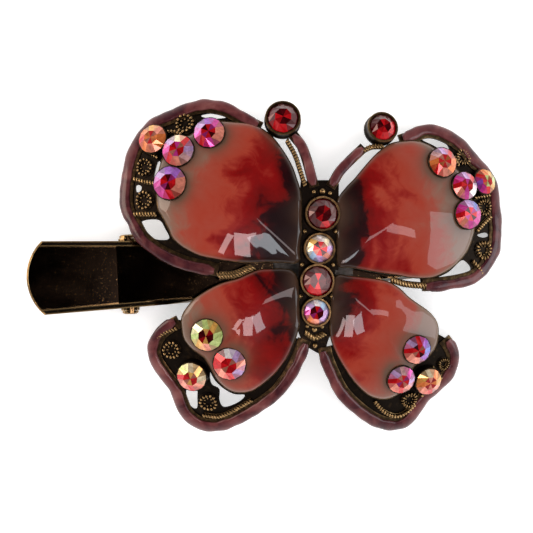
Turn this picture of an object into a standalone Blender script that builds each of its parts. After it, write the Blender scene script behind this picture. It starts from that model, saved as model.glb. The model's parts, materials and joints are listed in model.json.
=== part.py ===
"""Butterfly spring hair clip: an enamelled, crystal-set casting on a sprung two-lever clip.

World frame: metres, +Z up, the clip lies along +X with its beak at +X and its finger grips at -X.
The piece stands on the grip end of its lower lever and on the rims of its two right-hand wings.
All sizes below are millimetres; the builders convert them to metres as each mesh is made.

Butterfly frame: plan coordinates seen from above, turned by CLIP_YAW from the line of the clip.
Clip frame: origin on the pivot pin, x towards the beak, y along the pin, z towards the casting.
"""

import math

import bmesh
import bpy
from mathutils import Matrix, Vector

MM = 0.001
SEAM = 1e-6                           # metres: points nearer than this are one point

# ---- placing -------------------------------------------------------------------------------------
CLIP_YAW = math.radians(2.5)          # turn of the clip's line within the butterfly's plan
REST_TILT = math.radians(5.0)         # the piece leans down to the right when it lies on a table
PLAN_SHIFT = (-0.28, 0.285)           # moves the bounding box's middle to the world origin
PIVOT_PLAN = (-21.8, -1.28)           # pin in the butterfly's plan
PIVOT_HEIGHT = 3.70                   # pin above the table

# ---- casting -------------------------------------------------------------------------------------
DOME_CENTRE = (7.5, 3.6)
DOME_TOP = 9.36                       # height of the filigree level at the dome's centre
DOME_DROP = 2.06e-4                   # the sides drop with the cube of the distance from the centre
SHEET = 0.8                           # thickness of the filigree level
BLANK_CELL = 5.5
CHORD_ERROR = 0.24                    # plan curves keep only the points needed for this accuracy
WALL = 0.40                           # thickness of cell walls
WALL_TOP = 0.85                       # cell walls above the filigree
FIT = 0.05                            # clearance between pieces that sit in each other
FLOOR_FIT = 0.22                      # clearance below fills and stones

# ---- fills ---------------------------------------------------------------------------------------
PUFF = 1.15                           # rise of the wing enamel at the middle of a cell
RIM_OUT = 0.85                        # brass ribbon under the rim enamel, outwards of its centre line
RIM_IN = 1.35                         # and inwards, where a bare strip shows beside the enamel
RIM_TOP = 0.25
RIM_ENAMEL_HALF = 0.78
ANTENNA_HALF = 0.80
ANTENNA_ENAMEL_HALF = 0.68
ENAMEL_EDGE = 0.32                    # thickness of strip enamel at its edge
ENAMEL_CROWN = 0.14                   # and its extra rise along the middle

# How far each kind of raised feature is rooted in the sheet.
ROOTS = dict(wall=0.30, rim=0.40, ribbon=0.50, bar=0.20, rosette=0.35, cup=0.45)

# ---- crystals ------------------------------------------------------------------------------------
CUP_WALL = 0.35
STONE_SIDES = 10
TABLE_RATIO = 0.56
CROWN_RATIO = 0.36
PAVILION_RATIO = 0.40
GIRDLE_DEPTH = 0.22

# ---- clip ----------------------------------------------------------------------------------------
STRIP = 0.60                          # thickness of the lever sheet
PLATE_TOP = 3.20                      # upper lever above the pin
GRIP_LENGTH = 15.8
BEAK_LENGTH = 46.0
GRIP_HALF = 5.75
PAD_START = -1.8                      # the finger pad bends up from here
PAD_BEND = math.radians(3.0)
EAR_HALF = 1.50
EAR_OUT = 5.05                        # outer faces of the upper lever's ears
PIN_RADIUS = 0.70
PIN_HEAD_RADIUS = 1.30
PIN_HEAD = 0.55
BOSS_X = (22.5, 35.5)
BOSS_HALF = 3.2
BOSS_TOP = 7.85                       # the boss runs up into the sheet
SOLDER = 0.35
COIL_RADIUS = 1.20
WIRE_RADIUS = 0.28
LOWER_BASE = -2.75                    # underside of the lower lever below the pin
TOOTH_PITCH = 1.7
TOOTH_COUNT = 13

# ---- outlines in the butterfly's plan ------------------------------------------------------------
CELLS = {
    "upper_left": dict(
        centre=(-5.0, 11.0),
        outline=[
            (-7.5, 22.5), (-5.0, 22.3), (-2.9, 22.1), (-1.6, 21.7), (-0.1, 20.8), (1.1, 19.7), (2.0, 18.5),
            (3.0, 17.0), (3.9, 15.3), (4.5, 13.6), (5.0, 12.0), (5.3, 9.6), (5.3, 7.4), (5.2, 4.8),
            (5.0, 2.6), (4.8, 0.75), (2.4, 0.75), (-0.1, 0.8), (-2.9, 0.7), (-6.1, 1.0), (-8.2, 1.35),
            (-10.3, 1.8), (-12.2, 2.7), (-13.4, 3.5), (-14.5, 4.6), (-15.1, 6.0), (-16.0, 7.7), (-16.7, 9.0),
            (-17.0, 11.5), (-16.9, 13.6), (-16.3, 16.2), (-15.8, 17.4), (-14.9, 18.9), (-13.4, 19.9),
            (-11.7, 20.4), (-10.5, 21.7), (-9.4, 22.5)],
    ),
    "upper_right": dict(
        centre=(21.5, 8.5),
        outline=[
            (19.5, 19.1), (22.2, 19.6), (23.6, 19.6), (25.1, 19.2), (26.5, 18.45), (27.7, 17.8), (28.8, 16.9),
            (29.6, 15.6), (30.6, 14.75), (31.6, 13.7), (32.1, 11.7), (32.6, 9.8), (32.9, 8.0), (32.8, 5.9),
            (32.3, 4.1), (31.5, 2.4), (30.5, 1.2), (29.2, 0.0), (27.5, -1.0), (25.9, -1.6), (24.0, -1.7),
            (22.4, -1.6), (20.3, -1.2), (17.9, -0.9), (15.2, -0.4), (12.9, 0.0), (11.2, 0.2), (11.0, 2.6),
            (11.0, 5.2), (11.0, 7.8), (11.1, 10.2), (12.5, 12.2), (13.75, 13.5), (15.0, 15.0), (16.2, 16.4),
            (17.5, 17.7)],
    ),
    "lower_left": dict(
        centre=(-3.5, -9.0),
        outline=[
            (-11.8, -5.9), (-10.6, -4.8), (-8.6, -3.5), (-6.6, -2.6), (-4.4, -2.0), (-2.4, -1.1), (-1.0, -0.6),
            (0.6, -0.5), (3.0, -0.5), (4.2, -1.0), (4.8, -2.4), (4.9, -5.0), (5.0, -7.0), (5.0, -8.6),
            (4.6, -10.4), (3.9, -12.3), (2.9, -14.3), (1.5, -16.2), (0.2, -17.5), (-1.2, -18.6), (-2.6, -19.4),
            (-4.4, -19.6), (-5.8, -19.2), (-7.0, -18.3), (-8.0, -17.0), (-9.2, -14.8), (-9.8, -14.0),
            (-11.4, -12.8), (-12.6, -11.4), (-13.0, -9.8), (-13.0, -7.8)],
    ),
    "lower_right": dict(
        centre=(18.0, -9.5),
        outline=[
            (10.8, -1.6), (12.8, -1.6), (15.7, -1.9), (18.6, -2.4), (20.6, -3.5), (22.0, -4.8), (23.5, -5.9),
            (25.1, -7.0), (26.3, -8.2), (26.9, -9.6), (26.85, -11.7), (26.3, -13.1), (25.3, -14.3),
            (24.3, -15.0), (23.3, -15.6), (22.75, -16.6), (22.6, -18.0), (21.6, -19.3), (20.2, -20.4),
            (18.8, -20.8), (17.5, -20.7), (16.1, -20.1), (14.7, -18.9), (13.4, -17.4), (12.2, -15.6),
            (11.2, -13.9), (10.4, -12.1), (10.0, -10.2), (10.0, -7.4), (10.2, -4.4)],
    ),
}

# Centre lines of the rim ribbons, and a few points that close each filigree web inside its cell.
RIMS = {
    "upper_left": dict(
        path=[
            (-0.8, 21.7), (-2.6, 22.6), (-4.3, 23.6), (-6.5, 24.8), (-9.5, 25.3), (-12.5, 24.7), (-15.3, 23.6),
            (-17.6, 22.6), (-19.5, 20.7), (-21.0, 18.1), (-21.8, 14.9), (-22.2, 11.5), (-22.0, 9.0),
            (-20.9, 6.8), (-19.6, 4.5), (-17.6, 2.8), (-15.3, 1.45), (-12.8, 0.4), (-10.3, -0.2),
            (-7.5, -0.8)],
        outwards=1.0,
        closing=[(-6.5, 6.0), (-4.0, 16.0)],
    ),
    "upper_right": dict(
        path=[
            (20.8, 19.9), (23.0, 20.7), (24.4, 21.4), (26.1, 21.6), (28.1, 21.1), (30.2, 20.0), (31.8, 18.65),
            (33.1, 17.0), (34.5, 15.7), (35.75, 14.1), (36.4, 12.3), (36.6, 10.0), (36.8, 7.55), (36.8, 5.3),
            (36.5, 2.8), (35.65, 1.0), (34.4, -0.6), (32.7, -1.9), (30.6, -2.5), (28.1, -2.9), (26.1, -3.1),
            (24.4, -3.1)],
        outwards=-1.0,
        closing=[(22.0, 4.0), (21.0, 14.0)],
    ),
    "lower_left": dict(
        path=[
            (-13.7, -8.3), (-15.0, -9.0), (-16.5, -10.1), (-17.5, -11.6), (-17.9, -13.3), (-17.4, -15.1),
            (-16.3, -16.8), (-15.1, -18.4), (-14.2, -19.9), (-13.7, -21.4), (-13.1, -22.9), (-12.0, -24.2),
            (-10.3, -25.2), (-8.5, -25.4), (-6.6, -25.0), (-4.4, -24.0), (-2.2, -22.7), (-0.2, -21.3),
            (1.6, -19.8), (3.2, -17.8), (4.6, -15.4), (5.6, -13.1), (6.2, -11.4)],
        outwards=1.0,
        closing=[(2.0, -9.0), (-8.0, -9.0)],
    ),
    "lower_right": dict(
        path=[
            (8.7, -12.6), (9.2, -14.6), (10.1, -16.7), (11.1, -18.8), (12.3, -20.5), (13.9, -22.1),
            (15.9, -23.7), (18.0, -24.9), (20.3, -25.4), (22.1, -25.0), (23.4, -23.7), (24.5, -22.0),
            (25.7, -20.5), (27.2, -19.2), (28.7, -17.8), (29.7, -16.0), (29.9, -14.2), (29.3, -12.6),
            (28.3, -11.3)],
        outwards=1.0,
        closing=[(24.0, -9.0), (14.0, -9.0)],
    ),
}

ANTENNAE = {
    "left": [(4.0, 20.6), (4.8, 19.6), (5.5, 18.6), (6.3, 16.4), (6.9, 14.1), (7.4, 12.3)],
    "right": [(15.2, 18.6), (12.9, 16.4), (11.4, 14.8), (10.5, 13.3), (9.9, 12.3)],
}

BODY_PLATE = [
    (5.2, 12.2), (5.0, -0.2), (4.8, -9.0), (5.6, -11.6), (6.2, -12.4), (8.7, -13.6), (9.6, -11.4),
    (10.4, -9.0), (10.6, -1.0), (11.2, 0.2), (11.2, 11.2), (10.8, 13.2), (6.2, 13.2)]

# Twisted bars: centre lines, half width, rise above the filigree level.
BARS = [
    ([(3.2, 19.4), (4.4, 17.2), (5.2, 14.8), (5.9, 12.6)], 0.45, 0.60),
    ([(-7.3, -1.4), (-4.8, -1.2), (-2.2, -0.1)], 0.80, 0.55),
    ([(19.4, -2.0), (21.6, -2.7), (24.8, -3.0)], 0.65, 0.55),
    ([(6.1, -10.2), (7.4, -11.0), (8.9, -10.4)], 0.60, 0.60),
    ([(15.1, 18.0), (16.4, 18.6), (18.0, 18.7)], 0.50, 0.60),
    ([(-20.4, 8.1), (-17.2, 8.1)], 0.50, 0.55),
    ([(-9.8, -23.4), (-6.9, -23.4), (-2.4, -20.9)], 0.40, 0.55),
]

# Rosettes: centre, radius.
ROSETTES = [
    ((-12.7, 22.3), 1.75), ((-19.0, 15.5), 1.55), ((-19.0, 10.3), 1.60),
    ((31.1, 17.3), 1.45), ((34.5, 9.4), 1.45), ((34.4, 2.6), 1.60),
    ((-14.8, -13.0), 1.60), ((-9.1, -21.3), 1.60),
    ((28.0, -15.4), 1.10), ((22.6, -21.1), 1.45),
]

# See-through openings in the filigree.
GAPS = [
    [(-10.3, 23.6), (-8.0, 23.95), (-5.9, 23.3), (-8.6, 23.05)],
    [(-17.0, 16.3), (-16.5, 16.0), (-17.0, 13.4), (-17.6, 13.5)],
    [(-20.4, 12.7), (-19.6, 12.6), (-19.6, 11.9), (-20.3, 11.6)],
    [(-19.6, 6.5), (-19.0, 7.2), (-16.7, 7.2), (-15.7, 5.8), (-15.1, 4.3), (-17.0, 4.2), (-18.3, 4.9)],
    [(24.4, 20.1), (26.3, 20.5), (28.0, 20.0), (29.0, 18.6), (27.8, 18.4), (26.4, 19.1)],
    [(26.2, -2.05), (28.6, -0.9), (30.7, 0.9), (31.6, 0.7), (32.4, -0.4), (31.4, -1.2), (29.6, -1.7),
     (27.6, -2.1)],
    [(33.4, 5.0), (34.9, 5.4), (35.4, 4.9), (34.4, 4.6)],
    [(-12.5, -19.1), (-11.0, -19.2), (-10.9, -20.6), (-11.0, -22.4), (-11.9, -22.2), (-12.6, -20.8)],
    [(-8.9, -16.4), (-8.0, -17.9), (-6.6, -19.2), (-5.0, -20.0), (-3.4, -20.1), (-4.0, -21.0),
     (-5.4, -21.8), (-6.8, -22.1), (-7.4, -21.0), (-7.4, -19.2), (-8.6, -18.4)],
]

# Crystals: name, plan position, stone radius, cup height above the filigree level.
CRYSTALS = [
    ("crystal_body_1", (8.5, 8.1), 2.35, 1.75),
    ("crystal_body_2", (8.05, 2.75), 2.10, 1.60),
    ("crystal_body_3", (7.7, -2.2), 2.30, 1.75),
    ("crystal_body_4", (7.55, -6.95), 1.95, 1.60),
    ("crystal_antenna_left", (2.5, 22.65), 2.40, 1.60),
    ("crystal_antenna_right", (17.8, 21.4), 2.10, 1.60),
    ("crystal_upper_left_1", (-17.4, 19.6), 2.05, 1.25),
    ("crystal_upper_left_2", (-13.35, 17.65), 2.25, 1.55),
    ("crystal_upper_left_3", (-8.65, 20.35), 2.15, 1.55),
    ("crystal_upper_left_4", (-14.6, 12.7), 2.35, 1.55),
    ("crystal_upper_right_1", (27.1, 16.1), 2.10, 1.55),
    ("crystal_upper_right_2", (30.6, 12.5), 1.95, 1.55),
    ("crystal_upper_right_3", (34.1, 13.3), 1.75, 1.25),
    ("crystal_upper_right_4", (31.1, 8.1), 2.05, 1.55),
    ("crystal_lower_left_1", (-9.0, -10.3), 2.25, 1.60),
    ("crystal_lower_left_2", (-5.6, -14.7), 2.30, 1.55),
    ("crystal_lower_left_3", (-11.4, -16.8), 2.10, 1.25),
    ("crystal_lower_right_1", (23.1, -12.7), 2.00, 1.55),
    ("crystal_lower_right_2", (20.7, -17.3), 2.00, 1.55),
    ("crystal_lower_right_3", (25.2, -17.8), 1.95, 1.25),
]

# ---- clip sections: x, half width, height of the flat above the datum, flange drop ---------------------
UPPER_STATIONS = [
    (-GRIP_LENGTH, 5.85, 0.50), (PAD_START, 5.31, 0.50), (2.5, 5.14, 0.50), (6.0, 5.00, 0.70),
    (12.0, 4.73, 1.40), (30.0, 3.60, 1.40), (BEAK_LENGTH, 2.60, 1.40)]
LOWER_STATIONS = [
    # x, half width, height of the underside, height of the side flange above the underside
    (-14.8, 2.90, -5.01, 0.95), (-13.6, 4.10, -4.807, 0.95), (-11.8, 4.60, -4.503, 0.95),
    (-2.6, 4.60, -2.95, 0.95), (1.6, 4.60, LOWER_BASE, 0.95), (6.0, 3.90, -0.80, 1.40),
    (12.0, 3.80, 0.20, 2.20), (20.0, 3.30, 0.35, 2.20), (38.0, 2.20, 0.75, 1.80), (44.6, 1.75, 1.15, 1.40)]

# ---- colours ---------------------------------------------------------------------------------------
ANTIQUE_BRASS = dict(colour=(0.30, 0.19, 0.08), metallic=1.0, roughness=0.34)
BLACK_BRASS = dict(colour=(0.05, 0.04, 0.035), metallic=1.0, roughness=0.16)
SPRING_STEEL = dict(colour=(0.42, 0.41, 0.40), metallic=1.0, roughness=0.28)
SOLDER_GREY = dict(colour=(0.36, 0.35, 0.33), metallic=1.0, roughness=0.45)
RED_ENAMEL = dict(colour=(0.36, 0.03, 0.02), metallic=0.0, roughness=0.12)
MAUVE_ENAMEL = dict(colour=(0.26, 0.08, 0.08), metallic=0.0, roughness=0.16)
RED_CRYSTAL = dict(colour=(0.55, 0.01, 0.02), metallic=0.0, roughness=0.03)
RAINBOW_CRYSTAL = dict(colour=(0.62, 0.18, 0.30), metallic=0.0, roughness=0.03)
PLAIN_RED_CRYSTALS = ("crystal_body_1", "crystal_body_3", "crystal_antenna_left", "crystal_antenna_right")


# ---- scene helpers ---------------------------------------------------------------------------------

def clear_scene():
    for obj in list(bpy.data.objects):
        bpy.data.objects.remove(obj, do_unlink=True)


def new_collection(name):
    collection = bpy.data.collections.new(name)
    bpy.context.scene.collection.children.link(collection)
    return collection


def thin_design_curves():
    for cell in CELLS.values():
        cell["outline"] = simplified_outline(cell["outline"])
    for rim in RIMS.values():
        rim["path"] = simplified(rim["path"])
    for key in ANTENNAE:
        ANTENNAE[key] = simplified(ANTENNAE[key])


clear_scene()
PART = new_collection("butterfly_hair_clip")
CUTTERS = new_collection("cutters")
PLAN_PIECES = new_collection("plan_pieces")
PLAN_GAPS = new_collection("plan_gaps")
RAISED = new_collection("raised_features")
SEATS = new_collection("seats")
CUPS_CLEAR = new_collection("cups_clear")
WALLS_CLEAR = new_collection("walls_clear")
STRIPS_CLEAR = new_collection("strips_clear")
BARS_CLEAR = new_collection("bars_clear")


def to_helper(obj, collection):
    """Keeps a construction solid out of the finished part."""
    for owner in list(obj.users_collection):
        owner.objects.unlink(obj)
    collection.objects.link(obj)
    obj.hide_render = True
    obj.display_type = "WIRE"
    return obj


def butterfly_matrix():
    turn = Matrix.Rotation(-CLIP_YAW, 4, "Z")
    shift = Matrix.Translation(Vector((PLAN_SHIFT[0], PLAN_SHIFT[1], 0.0)) * MM)
    return shift @ turn


def pivot_point():
    plan = butterfly_matrix() @ (Vector((PIVOT_PLAN[0], PIVOT_PLAN[1], 0.0)) * MM)
    return Vector((plan.x, 0.0, PIVOT_HEIGHT * MM))


PLAN = Matrix.Identity(4)             # the butterfly is built in its own plan, then placed
BUTTERFLY = butterfly_matrix()
PIVOT = pivot_point()
CLIP = Matrix.Translation(PIVOT) @ Matrix.Rotation(REST_TILT, 4, "Y")


def object_from(name, verts, faces, matrix, collection=None):
    """Makes one closed body from points in millimetres of the frame given by matrix."""
    mesh = bpy.data.meshes.new(name)
    mesh.from_pydata([matrix @ (Vector(v) * MM) for v in verts], [], faces)
    mesh.update()
    face_outwards(mesh)
    obj = bpy.data.objects.new(name, mesh)
    PART.objects.link(obj)
    if collection:
        to_helper(obj, collection)
    return obj


def face_outwards(mesh, weld=0.0):
    """Leaves a body of triangles with its normals outwards."""
    work = bmesh.new()
    work.from_mesh(mesh)
    if weld:
        bmesh.ops.remove_doubles(work, verts=work.verts, dist=weld)
    bmesh.ops.triangulate(work, faces=work.faces)
    bmesh.ops.recalc_face_normals(work, faces=work.faces)
    work.to_mesh(mesh)
    work.free()


def boolean(obj, operation, tool=None, collection=None):
    """Applies one exact Boolean and tidies the seams it leaves."""
    modifier = obj.modifiers.new(operation.lower(), "BOOLEAN")
    modifier.operation = operation
    modifier.solver = "EXACT"
    if collection:
        modifier.operand_type = "COLLECTION"
        modifier.collection = collection
    else:
        modifier.object = tool
    graph = bpy.context.evaluated_depsgraph_get()
    mesh = bpy.data.meshes.new_from_object(obj.evaluated_get(graph))
    obj.modifiers.clear()
    work = bmesh.new()
    work.from_mesh(mesh)
    bmesh.ops.remove_doubles(work, verts=work.verts, dist=SEAM)
    bmesh.ops.dissolve_degenerate(work, dist=SEAM, edges=work.edges)
    work.to_mesh(mesh)
    work.free()
    mesh.name = obj.name
    obj.data = mesh


def shell_of(first, seen):
    """All the faces joined to the first one."""
    seen.add(first)
    shell, waiting = [], [first]
    while waiting:
        face = waiting.pop()
        shell.append(face)
        for edge in face.edges:
            for other in edge.link_faces:
                if other not in seen:
                    seen.add(other)
                    waiting.append(other)
    return shell


def keep_main_body(obj):
    """Removes loose crumbs, and fills the tiny pockets that crossing walls close in."""
    work = bmesh.new()
    work.from_mesh(obj.data)
    seen, shells = set(), []
    for face in work.faces:
        if face not in seen:
            shells.append(shell_of(face, seen))
    shells.sort(key=lambda shell: sum(face.calc_area() for face in shell))
    for shell in shells[:-1]:
        bmesh.ops.delete(work, geom=shell, context="FACES")
    work.to_mesh(obj.data)
    work.free()


def drop_needless_edges(obj):
    """Joins the flat pieces that the Booleans leave cut up."""
    modifier = obj.modifiers.new("join_flat", "DECIMATE")
    modifier.decimate_type = "DISSOLVE"
    modifier.angle_limit = math.radians(0.2)


def collapse_needless_edges(obj, share):
    """The same for the casting's curved sheet: keeps a share of the triangles."""
    obj.modifiers.new("flat_faces", "TRIANGULATE")
    modifier = obj.modifiers.new("collapse", "DECIMATE")
    modifier.decimate_type = "COLLAPSE"
    modifier.ratio = share


def material(name, colour, metallic, roughness):
    made = bpy.data.materials.new(name)
    made.use_nodes = True
    shader = made.node_tree.nodes["Principled BSDF"]
    shader.inputs["Base Color"].default_value = (*colour, 1.0)
    shader.inputs["Metallic"].default_value = metallic
    shader.inputs["Roughness"].default_value = roughness
    return made


def finish(obj, look, smooth=False):
    obj.data.materials.clear()
    obj.data.materials.append(material(obj.name + "_material", **look))
    for polygon in obj.data.polygons:
        polygon.use_smooth = smooth


# ---- shapes ----------------------------------------------------------------------------------------

def ring_loft(name, rings, matrix, collection=None, closed=False):
    """Lofts equal-count sections into one body; closed joins the last section to the first."""
    count = len(rings[0])
    verts = [point for ring in rings for point in ring]
    faces = []
    spans = len(rings) if closed else len(rings) - 1
    for r in range(spans):
        here = r * count
        there = ((r + 1) % len(rings)) * count
        for k in range(count):
            n = (k + 1) % count
            faces.append((here + k, here + n, there + n, there + k))
    if not closed:
        faces.append(tuple(range(count)))
        faces.append(tuple(range((len(rings) - 1) * count, len(rings) * count)))
    return object_from(name, verts, faces, matrix, collection)


def dome(x, y):
    """Height of the filigree level over the table."""
    dx, dy = x - DOME_CENTRE[0], y - DOME_CENTRE[1]
    return DOME_TOP - DOME_DROP * math.hypot(dx, dy) ** 3 - dx * math.tan(REST_TILT)


def on_dome(x, y, rise):
    return (x, y, dome(x, y) + rise)


def dome_frame(x, y):
    """A frame standing on the dome with its z along the dome's normal."""
    step = 0.01
    slope_x = (dome(x + step, y) - dome(x - step, y)) / (2 * step)
    slope_y = (dome(x, y + step) - dome(x, y - step)) / (2 * step)
    normal = Vector((-slope_x, -slope_y, 1.0)).normalized()
    turn = Vector((0, 0, 1)).rotation_difference(normal).to_matrix().to_4x4()
    return Matrix.Translation(Vector(on_dome(x, y, 0.0)) * MM) @ turn


def simplified(path):
    """Drops the points of an open path that lie within CHORD_ERROR of the line past them."""
    start, end = Vector(path[0]), Vector(path[-1])
    along = end - start
    worst, split = 0.0, None
    for i in range(1, len(path) - 1):
        away = Vector(path[i]) - start
        if along.length > 1e-6:
            t = max(0.0, min(1.0, away.dot(along) / along.length_squared))
            away = away - along * t
        if away.length > worst:
            worst, split = away.length, i
    if worst <= CHORD_ERROR:
        return [path[0], path[-1]]
    return simplified(path[:split + 1])[:-1] + simplified(path[split:])


def simplified_outline(outline):
    """The same for a closed outline, cut at its first point."""
    return simplified(outline + outline[:1])[:-1]


def path_sides(path, cyclic=False):
    """Unit side vectors (to the right of travel) at each point of a plan path."""
    sides = []
    count = len(path)
    for i in range(count):
        before = path[i - 1] if (cyclic or i > 0) else path[i]
        after = path[(i + 1) % count] if (cyclic or i < count - 1) else path[i]
        along = Vector((after[0] - before[0], after[1] - before[1])).normalized()
        sides.append(Vector((along.y, -along.x)))
    return sides


def offset_outline(outline, distance):
    """Outline listed clockwise or anticlockwise, moved outwards by distance."""
    count = len(outline)
    area = sum(
        outline[i][0] * outline[(i + 1) % count][1] - outline[(i + 1) % count][0] * outline[i][1]
        for i in range(count))
    sign = 1.0 if area > 0 else -1.0
    sides = path_sides(outline, cyclic=True)
    return [(p[0] + sign * s.x * distance, p[1] + sign * s.y * distance) for p, s in zip(outline, sides)]


def offset_path(path, distance):
    return [(p[0] + s.x * distance, p[1] + s.y * distance) for p, s in zip(path, path_sides(path))]


def scaled(outline, centre, factor):
    return [(centre[0] + (x - centre[0]) * factor, centre[1] + (y - centre[1]) * factor) for x, y in outline]


def prism(name, outline, collection):
    """A tall upright prism over a plan outline, from a filled 2D curve."""
    curve = bpy.data.curves.new(name, "CURVE")
    curve.dimensions = "2D"
    curve.fill_mode = "BOTH"
    curve.extrude = 9.0 * MM
    spline = curve.splines.new("POLY")
    spline.points.add(len(outline) - 1)
    for point, (x, y) in zip(spline.points, outline):
        point.co = (x * MM, y * MM, 0.0, 1.0)
    spline.use_cyclic_u = True
    source = bpy.data.objects.new(name + "_curve", curve)
    bpy.context.scene.collection.objects.link(source)
    graph = bpy.context.evaluated_depsgraph_get()
    mesh = bpy.data.meshes.new_from_object(source.evaluated_get(graph))
    bpy.data.objects.remove(source, do_unlink=True)
    mesh.transform(Matrix.Translation((0.0, 0.0, 6.0 * MM)))
    face_outwards(mesh, weld=1e-6)
    obj = bpy.data.objects.new(name, mesh)
    return to_helper(obj, collection)


def band(name, outline, inner, outer, low, high, collection):
    """A wall that follows a closed outline over the dome."""
    inside = offset_outline(outline, inner)
    outside = offset_outline(outline, outer)
    rings = []
    for (ix, iy), (ox, oy) in zip(inside, outside):
        rings.append([
            on_dome(ix, iy, low), on_dome(ox, oy, low), on_dome(ox, oy, high), on_dome(ix, iy, high)])
    return ring_loft(name, rings, PLAN, collection, closed=True)


def strip_loft(name, path, section, collection=None):
    """Sweeps a section of (side, rise) points along a plan path over the dome."""
    sides = path_sides(path)
    rings = []
    for point, side in zip(path, sides):
        ring = [on_dome(point[0] + side.x * s, point[1] + side.y * s, rise) for s, rise in section]
        rings.append(ring)
    return ring_loft(name, rings, PLAN, collection)


def turned(name, profile, matrix, steps, collection=None):
    """A solid of revolution: profile points (radius, height) at +X from top to bottom, by Screw."""
    mesh = bpy.data.meshes.new(name)
    points = [(r * MM, 0.0, z * MM) for r, z in profile]
    mesh.from_pydata(points, [(i, i + 1) for i in range(len(points) - 1)], [])
    source = bpy.data.objects.new(name + "_profile", mesh)
    bpy.context.scene.collection.objects.link(source)
    screw = source.modifiers.new("turn", "SCREW")
    screw.steps = steps
    screw.render_steps = steps
    screw.use_merge_vertices = True
    screw.merge_threshold = 1e-6
    graph = bpy.context.evaluated_depsgraph_get()
    solid = bpy.data.meshes.new_from_object(source.evaluated_get(graph))
    bpy.data.objects.remove(source, do_unlink=True)
    solid.transform(matrix)
    face_outwards(solid)
    obj = bpy.data.objects.new(name, solid)
    PART.objects.link(obj)
    if collection:
        to_helper(obj, collection)
    return obj


def puck(name, frame, radius, low, high, steps, collection):
    return turned(name, [(0, high), (radius, high), (radius, low), (0, low)], frame, steps, collection)


# ---- casting ---------------------------------------------------------------------------------------

def domed_blank():
    """A sheet over the whole plan, bent to the dome and given its thickness."""
    x0, x1, y0, y1 = -26.0, 42.0, -30.0, 30.0
    columns = round((x1 - x0) / BLANK_CELL)
    rows = round((y1 - y0) / BLANK_CELL)
    bpy.ops.mesh.primitive_grid_add(x_subdivisions=columns, y_subdivisions=rows, size=1.0)
    blank = bpy.context.object
    blank.name = "butterfly_casting"
    blank.data.name = "butterfly_casting"
    for vertex in blank.data.vertices:
        x = x0 + (vertex.co.x + 0.5) * (x1 - x0)
        y = y0 + (vertex.co.y + 0.5) * (y1 - y0)
        vertex.co = Vector(on_dome(x, y, 0.0)) * MM
    work = bmesh.new()
    work.from_mesh(blank.data)
    lower = bmesh.ops.extrude_face_region(work, geom=work.faces[:])["geom"]
    drop = Vector((0, 0, -SHEET * MM))
    bmesh.ops.translate(work, verts=[g for g in lower if isinstance(g, bmesh.types.BMVert)], vec=drop)
    work.to_mesh(blank.data)
    work.free()
    face_outwards(blank.data)
    for owner in list(blank.users_collection):
        owner.objects.unlink(blank)
    PART.objects.link(blank)
    return blank


def casting_plan():
    """The plan of the casting as one tall prism: cells, webs, body and antennae, less the openings."""
    for key, cell in CELLS.items():
        prism("plan_cell_" + key, offset_outline(cell["outline"], WALL / 2), PLAN_PIECES)
    for key, rim in RIMS.items():
        edge = offset_path(rim["path"], rim["outwards"] * RIM_OUT / 2)
        prism("plan_web_" + key, edge + rim["closing"], PLAN_PIECES)
    for key, path in ANTENNAE.items():
        half = ANTENNA_HALF - 0.3
        both = offset_path(path, half) + offset_path(path, -half)[::-1]
        prism("plan_antenna_" + key, both, PLAN_PIECES)
    for index, (path, half, _rise) in enumerate(BARS):
        both = offset_path(path, half * 0.7) + offset_path(path, -half * 0.7)[::-1]
        prism("plan_bar_%d" % index, both, PLAN_PIECES)
    for index, outline in enumerate(GAPS):
        prism("plan_gap_%d" % index, outline, PLAN_GAPS)
    plan = prism("plan", BODY_PLATE, CUTTERS)
    boolean(plan, "UNION", collection=PLAN_PIECES)
    boolean(plan, "DIFFERENCE", collection=PLAN_GAPS)
    return plan


def ribbon_section(right, left, root):
    return [(-left, -root), (right, -root), (right, RIM_TOP), (-left, RIM_TOP)]


def raised_features():
    for key, cell in CELLS.items():
        band("wall_" + key, cell["outline"], FIT, WALL, -ROOTS["wall"], WALL_TOP, RAISED)
    for key, rim in RIMS.items():
        right, left = (RIM_OUT, RIM_IN) if rim["outwards"] > 0 else (RIM_IN, RIM_OUT)
        strip_loft("rim_" + key, rim["path"], ribbon_section(right, left, ROOTS["rim"]), RAISED)
    for key, path in ANTENNAE.items():
        strip_loft("ribbon_" + key, path, ribbon_section(ANTENNA_HALF, ANTENNA_HALF, ROOTS["ribbon"]), RAISED)
    for index, (path, half, rise) in enumerate(BARS):
        root = ROOTS["bar"] + 0.01 * index
        section = [(-half, -root), (half, -root), (half, rise - 0.2), (0.0, rise), (-half, rise - 0.2)]
        strip_loft("bar_%d" % index, path, section, RAISED)
    for index, ((x, y), radius) in enumerate(ROSETTES):
        root = -ROOTS["rosette"]
        profile = [(0, 0.4), (radius * 0.75, 0.7), (radius, 0.45), (radius, root), (0, root)]
        turned("rosette_%d" % index, profile, dome_frame(x, y), 8, RAISED)
    for name, (x, y), radius, height in CRYSTALS:
        puck("cup_" + name, dome_frame(x, y), radius + CUP_WALL, -ROOTS["cup"], height, 12, RAISED)
    x0, x1 = BOSS_X
    box("boss", (x0, -BOSS_HALF, PLATE_TOP + SOLDER), (x1, BOSS_HALF, BOSS_TOP),
        BUTTERFLY.inverted() @ CLIP, RAISED)


def box(name, low, high, matrix, collection=None):
    (x0, y0, z0), (x1, y1, z1) = low, high
    bottom = [(x0, y0, z0), (x1, y0, z0), (x1, y1, z0), (x0, y1, z0)]
    top = [(x, y, z1) for x, y, _z in bottom]
    return ring_loft(name, [bottom, top], matrix, collection)


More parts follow.
